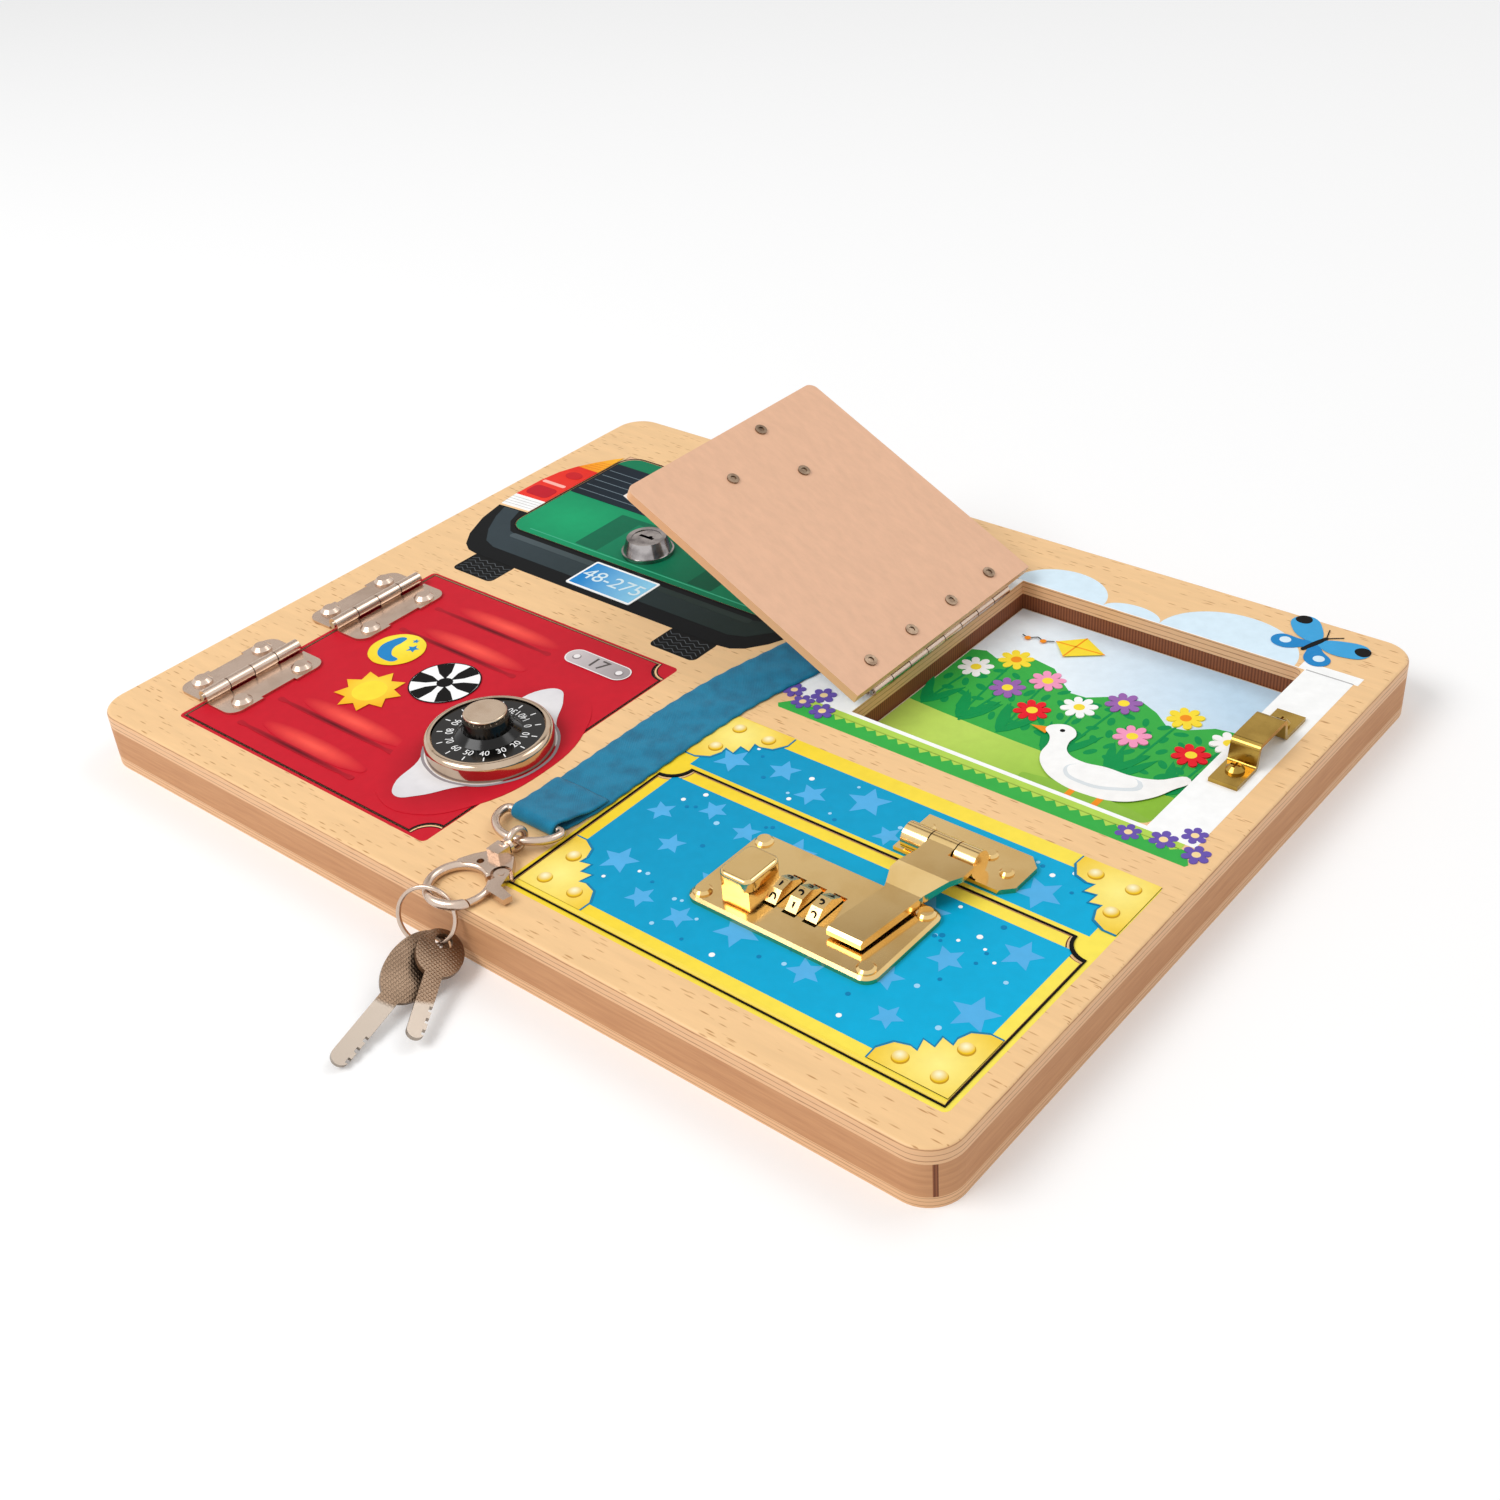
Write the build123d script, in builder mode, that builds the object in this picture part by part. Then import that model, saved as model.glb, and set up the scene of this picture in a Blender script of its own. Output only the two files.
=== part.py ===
"""Wooden busy board: four little doors, each with a different lock, on a layered board.

Units are millimetres.  +X runs along the front edge, -Y is the front, +Z is up and the
board stands on Z = 0 with its centre over the origin.  The garden door lies open at rest;
every other door is shut.
"""
import math
import os

from build123d import *

# --- board -------------------------------------------------------------------------
BOARD_WIDTH = 368.0
BOARD_DEPTH = 290.0
BOARD_CORNER = 12.0
BACK_THICKNESS = 4.0
CORE_THICKNESS = 12.0
SHEET_THICKNESS = 5.5
SHEET_EDGE_ROUND = 1.5
PICTURE_THICKNESS = 6.0
CORE_TOP = BACK_THICKNESS + CORE_THICKNESS
TOP = CORE_TOP + SHEET_THICKNESS
PICTURE_TOP = BACK_THICKNESS + PICTURE_THICKNESS
RIGHT = BOARD_WIDTH / 2
LEFT = -RIGHT
BACK = BOARD_DEPTH / 2

# --- doors: left, right, front, back ------------------------------------------------
DOOR_THICKNESS = 3.6
DOOR_GAP = 0.4
LOCKER_DOOR = (LEFT + 33.0, -24.5, -128.2, -9.0)
TRUNK_DOOR = (LEFT + 27.0, -16.0, 37.0, 111.6)
GARDEN_DOOR = (44.4, RIGHT - 27.4, 5.4, 111.6)
CHEST_DOOR = (14.5, RIGHT - 10.5, -127.5, -52.6)
TRUNK_MIDDLE = (TRUNK_DOOR[0] + TRUNK_DOOR[1]) / 2
CHEST_MIDDLE = (CHEST_DOOR[0] + CHEST_DOOR[1]) / 2
LOCKER_NOTCH = 7.5
CHEST_NOTCH = 8.5
TRUNK_CORNER = 8.0
GARDEN_CORNER = 3.5
DOOR_BOTTOM = TOP - DOOR_THICKNESS

# --- core strips ---------------------------------------------------------------------
FRONT_RAIL_BACK = -128.6
BACK_RAIL_FRONT = 112.0
BACK_RAIL_SEAM = 76.0

# --- fits ----------------------------------------------------------------------------
RUNNING = 0.05
CLEAR = 0.4

# --- rivets --------------------------------------------------------------------------
RIVET_SHANK = 1.5
RIVET_DEPTH = 4.0
RIVET_HEAD = 3.8
RIVET_HEIGHT = 2.0
SMALL_RIVET_HEAD = 2.3
SMALL_RIVET_HEIGHT = 1.2
SMALL_RIVET_SHANK = 1.0

# --- locker hinges -------------------------------------------------------------------
HINGE_LENGTH = 43.0
HINGE_KNUCKLES = 4
HINGE_RADIUS = 2.4
HINGE_PIN = 1.2
HINGE_LEAF = 1.0
HINGE_LEAF_WIDTH = 16.3
HINGE_CORNER = 5.0
HINGE_RECESS = 1.3
HINGE_RECESS_LENGTH = 15.0
HINGE_CENTRES = (-98.5, -38.5)
HINGE_RIVET_REACH = 11.7
HINGE_RIVET_SPREAD = 13.5
LOCKER_AXIS_X = LOCKER_DOOR[0] - DOOR_GAP / 2
LOCKER_AXIS_Z = TOP + CLEAR + HINGE_RADIUS

# --- strip hinges --------------------------------------------------------------------
STRIP_KNUCKLE = 10.5
STRIP_KNUCKLES = 8
STRIP_RADIUS = 1.6
STRIP_PIN = 0.7
STRIP_LEAF = 0.8
STRIP_LEAF_WIDTH = 11.5
STRIP_RIVET_REACH = 7.6
STRIP_LENGTH = STRIP_KNUCKLE * STRIP_KNUCKLES
STRIP_AXIS_Z = TOP + CLEAR + STRIP_RADIUS
GARDEN_HINGE_START = 16.4
TRUNK_HINGE_START = TRUNK_MIDDLE - STRIP_LENGTH / 2
STRIP_RIVET_PLACES = (5.3, 29.5, 53.9, 78.2)
STRIP_FRAME_SHIFT = 6.5
GARDEN_AXIS_X = GARDEN_DOOR[0] - DOOR_GAP / 2
TRUNK_AXIS_Y = TRUNK_DOOR[3] + DOOR_GAP / 2
GARDEN_OPEN = 153.0
GARDEN_FREE_EDGE = GARDEN_DOOR[1] - GARDEN_AXIS_X

# --- dial lock -----------------------------------------------------------------------
DIAL_X = -44.8
DIAL_Y = -80.0
DIAL_CASE_RADIUS = 22.2
DIAL_CASE_HEIGHT = 7.0
DIAL_CASE_WALL = 2.6
DIAL_CASE_FLOOR = 1.5
DIAL_FACE_HEIGHT = 6.3
DIAL_FACE_THICKNESS = 2.6
DIAL_FLARE_RADIUS = 11.5
DIAL_FLARE_HEIGHT = 2.2
DIAL_SKIRT_RADIUS = 8.8
DIAL_SKIRT_TOP_RADIUS = 8.0
DIAL_SKIRT_RIBS = 36
DIAL_RIB_RADIUS = 0.35
DIAL_CAP_BOTTOM = 12.3
DIAL_CAP_TOP = 14.5
DIAL_CAP_RADIUS = 7.5
SPINDLE_RADIUS = 4.0
NECK_RADIUS = 6.5
LOCK_NECK_END = 14.5
LOCK_NUT_THICKNESS = 2.8
DIAL_NUT_RADIUS = 9.5
TONGUE_TOP = 14.1
TONGUE_THICKNESS = 1.5
TONGUE_WIDTH = 8.0
TONGUE_BITE = 3.6
PEEN_THICKNESS = 0.8
PEEN_RADIUS = 4.2
STUB_RADIUS = 3.2
POCKET_DEPTH = 5.0
POCKET_CLEAR = 0.9

# --- cam lock ------------------------------------------------------------------------
CAM_X = TRUNK_MIDDLE - 5.5
CAM_Y = 51.5
CAM_FLANGE_RADIUS = 10.5
CAM_FLANGE_HEIGHT = 1.6
CAM_TOP_RADIUS = 7.9
CAM_HEIGHT = 7.0
CAM_NECK_RADIUS = 7.4
CAM_NUT_RADIUS = 11.0
PLUG_RADIUS = 5.9
KEYHOLE_LENGTH = 7.0
KEYHOLE_WIDTH = 1.5
KEYHOLE_DEPTH = 9.0

# --- garden bolt ---------------------------------------------------------------------
BOLT_Y = 59.5
BOLT_RADIUS = 2.5
BOLT_RISE = 4.3
BOLT_TRAVEL = 14.0
BOLT_REACH = GARDEN_FREE_EDGE - 0.5
BOLT_LENGTH = 38.0
BOLT_PLATE = (GARDEN_FREE_EDGE - 32.4, GARDEN_FREE_EDGE - 2.4, 40.0, 77.0)
BOLT_PLATE_THICKNESS = 1.2
BOLT_HOUSING = (BOLT_PLATE[0] + 4.0, BOLT_PLATE[1] - 1.0, 14.0)
BOLT_HOUSING_HEIGHT = 8.2
BOLT_KNOB_AT = BOLT_PLATE[0] + 10.0
BOLT_KNOB_STEM = 1.6
BOLT_KNOB_RADIUS = 3.2
BOLT_KNOB_HEIGHT = 13.5
BOLT_KNOB_THICKNESS = 3.5
BOLT_RIVETS = ((BOLT_PLATE[0] + 2.0, 71.5), (BOLT_PLATE[1] - 4.5, 73.0), (BOLT_PLATE[0] + 14.0, 44.0))
KEEPER_X = RIGHT - 18.0
KEEPER_WIDTH = 10.0
KEEPER_THICKNESS = 1.5
KEEPER_FRONT = 36.0
KEEPER_BACK = 83.5
KEEPER_LOOP = 17.5
KEEPER_HEIGHT = 9.0
KEEPER_SCREWS = (44.2, 75.4)
SCREW_HEAD = 3.1

# --- chest door lock -----------------------------------------------------------------
PIVOT_PIN = 0.8
PIVOT_PIN_SEAT = 6.0
CHEST_AXIS_Y = CHEST_DOOR[2] + DOOR_THICKNESS / 2
CHEST_AXIS_Z = TOP - DOOR_THICKNESS / 2
LOCK_PLATE = (CHEST_MIDDLE - 31.0, CHEST_MIDDLE + 38.0, -103.5, -66.0)
LOCK_PLATE_THICKNESS = 2.4
LOCK_PLATE_CORNER = 4.5
LOCK_RIVET_INSET = 4.25
LOCK_RIVET_HEAD = 3.0
LOCK_RIVETS = tuple(
    (x, y)
    for x in (LOCK_PLATE[0] + LOCK_RIVET_INSET, LOCK_PLATE[1] - LOCK_RIVET_INSET)
    for y in (LOCK_PLATE[2] + LOCK_RIVET_INSET, LOCK_PLATE[3] - LOCK_RIVET_INSET)
)
WHEEL_PITCH = 7.6
WHEEL_MIDDLE = CHEST_MIDDLE + 1.0
WHEEL_CENTRES = (WHEEL_MIDDLE - WHEEL_PITCH, WHEEL_MIDDLE, WHEEL_MIDDLE + WHEEL_PITCH)
WHEEL_RADIUS = 7.5
WHEEL_WIDTH = 4.1
WHEEL_Y = -85.7
WHEEL_AXIS_Z = TOP - 0.85
WHEEL_SHAFT = 1.0
LUG_THICKNESS = 1.8
LUG_DEPTH = 3.2
BUTTON = (LOCK_PLATE[0] + 8.0, LOCK_PLATE[0] + 20.5, -97.0, -81.0)
BUTTON_BASE_HEIGHT = 6.0
BUTTON_INSET = 1.0
BUTTON_CORNER = 3.0
BUTTON_ROUND = 1.2
BUTTON_BOTTOM = 6.5
BUTTON_HEIGHT = 10.5
BUTTON_TRAVEL = 2.5
BUTTON_STEM = 4.0

# --- hasp ----------------------------------------------------------------------------
HASP_X = CHEST_MIDDLE + 23.7
HASP_Y = -45.7
HASP_Z = TOP + 5.6
HASP_RADIUS = 4.5
HASP_PIN = 1.5
HASP_EYE = 9.2
HASP_KNUCKLES = (
    HASP_X - 13.7, HASP_X - HASP_EYE / 2 - CLEAR, HASP_X - HASP_EYE / 2,
    HASP_X + HASP_EYE / 2, HASP_X + HASP_EYE / 2 + CLEAR, HASP_X + 12.3,
)
HASP_PLATE = (HASP_X - 17.2, HASP_X + 24.3, -49.0, -29.5)
HASP_PLATE_THICKNESS = 1.8
HASP_RIVETS = ((HASP_X - 13.2, -35.7), (HASP_X + 9.8, -36.0), (HASP_X + 18.3, -40.5))
HASP_CORNER = 4.0
ARM_TIP_Y = -95.0
ARM_TONGUE = (HASP_X - 8.0, HASP_X + 4.9)
ARM_WAIST = (HASP_X - 4.4, HASP_X + 7.6)
ARM_WAIST_Y = (-71.0, -68.5)
ARM_SHOULDER = (HASP_X - 7.2, HASP_X + 14.0)
ARM_SHOULDER_Y = (-64.0, -57.0)
ARM_BEND = (-61.0, -69.0)
ARM_EYE_BACK = HASP_Y - HASP_RADIUS - 1.2
ARM_STEP = 3.0
ARM_HIGH = (7.6, 9.5)
ARM_LOW = (3.6, 6.4)

# --- lanyard -------------------------------------------------------------------------
RIBBON_WIDTH = 24.0
RIBBON_THICKNESS = 1.2
RIBBON_ROUTE = ((0.5, -80.0), (0.5, -58.0), (1.0, -30.0), (3.0, -5.0), (8.5, 20.0), (14.0, 50.0))
RING_BAR_Y = -103.0
RING_WIRE = 1.4
RING_HALF_WIDTH = 12.4
RING_DROP = 12.5
RING_BAR = 10.4
LANYARD_SCREW = (12.2, 40.0)
WASHER_RADIUS = 7.0
WASHER_THICKNESS = 1.0
HOOK_THICKNESS = 3.2
HOOK_LOOP = (3.5, -139.4)
HOOK_LOOP_RADIUS = 9.7
HOOK_WIRE = 1.6
HOOK_CORNER = 1.5
HOOK_ROUND = 0.8
GATE_WIRE = 1.25
GATE_MIDDLE = 1.6
GATE_END_Y = -4.6
HOOK_END_Y = -5.2
LEVER_BOTTOM = 0.9
LEVER_THICKNESS = 2.1
HOOK_EYE = (4.8, -115.4)
SPLIT_RADIUS = 9.4
SPLIT_RADIAL = 0.65
SPLIT_AXIAL = 0.8
SPLIT_SPOT = 28.8
SPLIT_TURN = 25.0
SPLIT_LEAN = 20.5
SPLIT_LIFT = 0.45
KEY_THICKNESS = 1.6
KEY_HOLE = 2.8
KEY_HOLE_INSET = 4.5
TOOTH_LENGTH = 1.9
TOOTH_DEPTH = 1.0
TOOTH_PITCH = 4.2
TOOTH_COUNT = 3

os.makedirs("parts", exist_ok=True)


# --- shared shapes -------------------------------------------------------------------
def centre_of(door):
    """Middle of a door given as left, right, front, back."""
    return ((door[0] + door[1]) / 2, (door[2] + door[3]) / 2)


def panel(door, grow=0.0):
    """Adds a door's rectangle, grown by grow on every side, to the sketch being made."""
    with Locations(centre_of(door)):
        Rectangle(door[1] - door[0] + 2 * grow, door[3] - door[2] + 2 * grow)


def notches(places, radius):
    """Cuts round notches out of the sketch being made."""
    with Locations(*places):
        Circle(radius, mode=Mode.SUBTRACT)


def box(x0, x1, y0, y1, z0, z1, mode=Mode.ADD):
    """Adds a box between two corners to the part being made."""
    with Locations(((x0 + x1) / 2, (y0 + y1) / 2, (z0 + z1) / 2)):
        Box(x1 - x0, y1 - y0, z1 - z0, mode=mode)


def rod(radius, start, end, plane, mode=Mode.ADD):
    """Adds a cylinder along a plane's normal between two distances from it."""
    with BuildSketch(plane.offset(start)) as outline:
        Circle(radius)
    extrude(outline.sketch, amount=end - start, mode=mode)


def domed_rivets(plane, places, head, height, shank, depth):
    """Adds rivets with round heads standing on a plane, their shanks going below it."""
    for x, y in places:
        with BuildSketch(plane) as outline:
            with Locations((x, y)):
                Circle(shank)
        extrude(outline.sketch, amount=-depth)
    for x, y in places:
        with BuildSketch(plane) as outline:
            with Locations((x, y)):
                Circle(head)
        extrude(outline.sketch, amount=height * 0.35)
        with BuildSketch(plane.offset(height * 0.35)) as outline:
            with Locations((x, y)):
                Circle(head)
        extrude(outline.sketch, amount=height * 0.65, taper=45)


def holes(plane, places, radius, depth):
    """Cuts round holes below a plane in the part being made."""
    with BuildSketch(plane) as outline:
        with Locations(*places):
            Circle(radius)
    extrude(outline.sketch, amount=-depth, mode=Mode.SUBTRACT)


def finish(builder, name):
    """Labels a piece and writes its file."""
    builder.part.label = name
    export_step(builder.part, f"parts/{name}.step")


# --- board ---------------------------------------------------------------------------
STRIP_RISE = CLEAR + STRIP_RADIUS
LOCKER_RISE = CLEAR + HINGE_RADIUS
LOCKER_HINGE = Plane(origin=(LOCKER_AXIS_X, 0, LOCKER_AXIS_Z), x_dir=(1, 0, 0), z_dir=(0, 0, 1))
TRUNK_HINGE = Plane(origin=(0, TRUNK_AXIS_Y, STRIP_AXIS_Z), x_dir=(0, -1, 0), z_dir=(0, 0, 1))
GARDEN_HINGE = Plane(origin=(GARDEN_AXIS_X, 0, STRIP_AXIS_Z), x_dir=(1, 0, 0), z_dir=(0, 0, 1))
OPEN = math.radians(GARDEN_OPEN)
GARDEN_REST = Plane(
    origin=(GARDEN_AXIS_X, 0, STRIP_AXIS_Z),
    x_dir=(math.cos(OPEN), 0, math.sin(OPEN)),
    z_dir=(-math.sin(OPEN), 0, math.cos(OPEN)),
)
SURFACE = Plane.XY.offset(TOP)
LOCKER_RIVETS = [
    (HINGE_RIVET_REACH, centre + side * HINGE_RIVET_SPREAD)
    for centre in HINGE_CENTRES
    for side in (-1, 1)
]
LOCKER_FRAME_RIVETS = [(-x, y) for x, y in LOCKER_RIVETS]
GARDEN_RIVETS = [(STRIP_RIVET_REACH, GARDEN_HINGE_START + place) for place in STRIP_RIVET_PLACES]
TRUNK_RIVETS = [(STRIP_RIVET_REACH, TRUNK_HINGE_START + place) for place in STRIP_RIVET_PLACES]
FRAME_SHIFTED = [place + STRIP_FRAME_SHIFT for place in STRIP_RIVET_PLACES[:-1]]
GARDEN_FRAME_RIVETS = [(-STRIP_RIVET_REACH, GARDEN_HINGE_START + place) for place in FRAME_SHIFTED]
TRUNK_FRAME_RIVETS = [(-STRIP_RIVET_REACH, TRUNK_HINGE_START + place) for place in FRAME_SHIFTED]
KEEPER_SCREW_PLACES = [(KEEPER_X, y) for y in KEEPER_SCREWS]
LOCKER_NOTCH_CENTRES = [(LOCKER_DOOR[1], LOCKER_DOOR[2]), (LOCKER_DOOR[1], LOCKER_DOOR[3])]
CHEST_NOTCH_CENTRES = [(CHEST_DOOR[0], CHEST_DOOR[3]), (CHEST_DOOR[1], CHEST_DOOR[3])]

with BuildPart() as top_sheet:
    with BuildSketch(Plane.XY.offset(CORE_TOP)):
        RectangleRounded(BOARD_WIDTH, BOARD_DEPTH, BOARD_CORNER)
    extrude(amount=SHEET_THICKNESS)
    fillet(top_sheet.faces().sort_by(Axis.Z)[-1].edges(), SHEET_EDGE_ROUND)
    with BuildSketch(Plane.XY.offset(CORE_TOP)):
        panel(LOCKER_DOOR, DOOR_GAP)
        notches(LOCKER_NOTCH_CENTRES, LOCKER_NOTCH - DOOR_GAP)
    extrude(amount=SHEET_THICKNESS, mode=Mode.SUBTRACT)
    with BuildSketch(Plane.XY.offset(CORE_TOP)) as trunk_hole:
        panel(TRUNK_DOOR, DOOR_GAP)
        fillet(trunk_hole.vertices().group_by(Axis.Y)[0], TRUNK_CORNER + DOOR_GAP)
    extrude(amount=SHEET_THICKNESS, mode=Mode.SUBTRACT)
    with BuildSketch(Plane.XY.offset(CORE_TOP)) as garden_hole:
        panel(GARDEN_DOOR, DOOR_GAP)
        fillet(garden_hole.vertices().group_by(Axis.X)[-1], GARDEN_CORNER + DOOR_GAP)
    extrude(amount=SHEET_THICKNESS, mode=Mode.SUBTRACT)
    with BuildSketch(Plane.XY.offset(CORE_TOP)):
        panel(CHEST_DOOR, DOOR_GAP)
        notches(CHEST_NOTCH_CENTRES, CHEST_NOTCH - DOOR_GAP)
    extrude(amount=SHEET_THICKNESS, mode=Mode.SUBTRACT)
    holes(LOCKER_HINGE.offset(-LOCKER_RISE), LOCKER_FRAME_RIVETS, RIVET_SHANK, RIVET_DEPTH - HINGE_LEAF)
    strip_depth = RIVET_DEPTH - STRIP_LEAF
    holes(GARDEN_HINGE.offset(-STRIP_RISE), GARDEN_FRAME_RIVETS, SMALL_RIVET_SHANK, strip_depth)
    holes(TRUNK_HINGE.offset(-STRIP_RISE), TRUNK_FRAME_RIVETS, SMALL_RIVET_SHANK, strip_depth)
    holes(SURFACE, KEEPER_SCREW_PLACES, RIVET_SHANK, RIVET_DEPTH - KEEPER_THICKNESS)
    holes(SURFACE, HASP_RIVETS, SMALL_RIVET_SHANK, RIVET_DEPTH - HASP_PLATE_THICKNESS)
    holes(SURFACE, [LANYARD_SCREW], RIVET_SHANK, RIVET_DEPTH - RIBBON_THICKNESS)
    pin_plane = Plane(origin=(0, CHEST_AXIS_Y, CHEST_AXIS_Z), x_dir=(0, 1, 0), z_dir=(1, 0, 0))
    left_seat = CHEST_DOOR[0] - DOOR_GAP
    right_seat = CHEST_DOOR[1] + DOOR_GAP
    rod(PIVOT_PIN, left_seat - PIVOT_PIN_SEAT, left_seat, pin_plane, Mode.SUBTRACT)
    rod(PIVOT_PIN, right_seat, right_seat + PIVOT_PIN_SEAT, pin_plane, Mode.SUBTRACT)
finish(top_sheet, "top_sheet")

LEFT_OF = {"locker": LOCKER_DOOR[0] - DOOR_GAP, "trunk": TRUNK_DOOR[0] - DOOR_GAP}
CENTRE_LEFT = LOCKER_DOOR[1] + DOOR_GAP
CENTRE_RIGHT = CHEST_DOOR[0] - DOOR_GAP
TRUNK_RIGHT = TRUNK_DOOR[1] + DOOR_GAP
GARDEN_LEFT = GARDEN_DOOR[0] - DOOR_GAP
LOCKER_BACK = LOCKER_DOOR[3] + DOOR_GAP
TRUNK_FRONT = TRUNK_DOOR[2] - DOOR_GAP
CHEST_BACK = CHEST_DOOR[3] + DOOR_GAP
GARDEN_FRONT = GARDEN_DOOR[2] - DOOR_GAP
POCKET_BOTTOM = TONGUE_TOP - TONGUE_THICKNESS - POCKET_CLEAR
DIAL_TONGUE = CENTRE_LEFT - DIAL_X + TONGUE_BITE
CAM_TONGUE = CAM_Y - TRUNK_FRONT + TONGUE_BITE
DIAL_POCKET = math.sqrt(DIAL_TONGUE**2 - (CENTRE_LEFT - DIAL_X) ** 2) + POCKET_CLEAR + 1.0
CAM_POCKET = math.sqrt(CAM_TONGUE**2 - (CAM_Y - TRUNK_FRONT) ** 2) + POCKET_CLEAR + 1.0


def board_outline(z0, z1):
    """Keeps only what lies inside the board's outline between two heights."""
    with BuildSketch(Plane.XY.offset(z0)) as outline:
        RectangleRounded(BOARD_WIDTH, BOARD_DEPTH, BOARD_CORNER)
    extrude(outline.sketch, amount=z1 - z0, mode=Mode.INTERSECT)


def strips(*boxes):
    """Adds core strips given as left, right, front, back."""
    for x0, x1, y0, y1 in boxes:
        box(x0, x1, y0, y1, BACK_THICKNESS, CORE_TOP)


with BuildPart() as core_stiles:
    strips(
        (LEFT, LEFT_OF["locker"], FRONT_RAIL_BACK, LOCKER_BACK),
        (LEFT, LEFT_OF["trunk"], TRUNK_FRONT, BACK_RAIL_FRONT),
        (CENTRE_LEFT, CENTRE_RIGHT, FRONT_RAIL_BACK, LOCKER_BACK),
        (CENTRE_RIGHT, GARDEN_LEFT, GARDEN_FRONT, BACK_RAIL_FRONT),
        (CHEST_DOOR[1] + DOOR_GAP, RIGHT, FRONT_RAIL_BACK, CHEST_BACK),
        (GARDEN_DOOR[1] + DOOR_GAP, RIGHT, GARDEN_FRONT, BACK_RAIL_FRONT),
    )
    box(
        CENTRE_LEFT, CENTRE_LEFT + POCKET_DEPTH, DIAL_Y - DIAL_POCKET, DIAL_Y + DIAL_POCKET,
        POCKET_BOTTOM, CORE_TOP, Mode.SUBTRACT,
    )
finish(core_stiles, "core_stiles")

with BuildPart() as core_rails:
    strips(
        (LEFT, RIGHT, -BACK, FRONT_RAIL_BACK),
        (LEFT, BACK_RAIL_SEAM, BACK_RAIL_FRONT, BACK),
        (LEFT, CENTRE_RIGHT, LOCKER_BACK, TRUNK_FRONT),
    )
    board_outline(BACK_THICKNESS, CORE_TOP)
    box(
        CAM_X - CAM_POCKET, CAM_X + CAM_POCKET, TRUNK_FRONT - POCKET_DEPTH, TRUNK_FRONT,
        POCKET_BOTTOM, CORE_TOP, Mode.SUBTRACT,
    )
finish(core_rails, "core_rails")

with BuildPart() as core_blocks:
    strips(
        (BACK_RAIL_SEAM, RIGHT, BACK_RAIL_FRONT, BACK),
        (CENTRE_RIGHT, RIGHT, CHEST_BACK, GARDEN_FRONT),
        (TRUNK_RIGHT, CENTRE_RIGHT, TRUNK_FRONT, BACK_RAIL_FRONT),
    )
    board_outline(BACK_THICKNESS, CORE_TOP)
finish(core_blocks, "core_blocks")

with BuildPart() as back_board:
    with BuildSketch():
        RectangleRounded(BOARD_WIDTH, BOARD_DEPTH, BOARD_CORNER)
    extrude(amount=BACK_THICKNESS)
finish(back_board, "back_board")


def picture_board(name, x0, x1, y0, y1):
    """Makes the printed board that stands in one cavity."""
    with BuildPart() as picture:
        box(x0 + CLEAR, x1 - CLEAR, y0 + CLEAR, y1 - CLEAR, BACK_THICKNESS, PICTURE_TOP)
    finish(picture, name)


picture_board("locker_picture_board", LEFT_OF["locker"], CENTRE_LEFT, FRONT_RAIL_BACK, LOCKER_BACK)
picture_board("trunk_picture_board", LEFT_OF["trunk"], TRUNK_RIGHT, TRUNK_FRONT, BACK_RAIL_FRONT)
picture_board("garden_picture_board", GARDEN_LEFT, GARDEN_DOOR[1] + DOOR_GAP, GARDEN_FRONT, BACK_RAIL_FRONT)
picture_board("chest_picture_board", CENTRE_RIGHT, CHEST_DOOR[1] + DOOR_GAP, FRONT_RAIL_BACK, CHEST_BACK)


# --- hinges --------------------------------------------------------------------------
def across(plane, distance):
    """Plane across a hinge's axis at a distance along it."""
    origin = plane.from_local_coords(Vector(0, distance, 0))
    return Plane(origin=origin, x_dir=plane.x_dir, z_dir=plane.y_dir)


def leaf(plane, side, start, knuckle, count, sizes, parity, extra):
    """Adds a hinge leaf with its knuckles; sizes are radius, pin, leaf thickness, width."""
    radius, pin, thickness, width = sizes
    rise = CLEAR + radius
    length = knuckle * count
    inner = DOOR_GAP / 2
    with BuildSketch(plane.offset(-rise)) as outline:
        with Locations((side * (inner + width) / 2, start + length / 2)):
            Rectangle(width - inner, length)
    extrude(outline.sketch, amount=thickness)
    for index in range(count):
        begin = start + index * knuckle
        if index % 2 != parity:
            reach = radius + CLEAR
            with BuildSketch(plane.offset(-rise)) as outline:
                with Locations((side * reach / 2, begin + knuckle / 2)):
                    Rectangle(reach, knuckle)
            extrude(outline.sketch, amount=thickness, mode=Mode.SUBTRACT)
    for index in range(count):
        begin = start + index * knuckle
        if index % 2 == parity:
            rod(radius, CLEAR / 2, knuckle - CLEAR / 2, across(plane, begin))
            rod(pin + extra, 0, knuckle, across(plane, begin), Mode.SUBTRACT)


def relieve(plane, side, start, knuckle, count, sizes, parity):
    """Trims a leaf beside its own knuckles so that it clears the other leaf's knuckles."""
    radius, _, thickness, _ = sizes
    rise = CLEAR + radius
    reach = radius + CLEAR
    for index in range(count):
        if index % 2 == parity:
            for edge in (start + index * knuckle, start + (index + 1) * knuckle):
                with BuildSketch(plane.offset(-rise)) as outline:
                    with Locations((side * reach / 2, edge)):
                        Rectangle(reach, CLEAR)
                extrude(outline.sketch, amount=thickness, mode=Mode.SUBTRACT)


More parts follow.
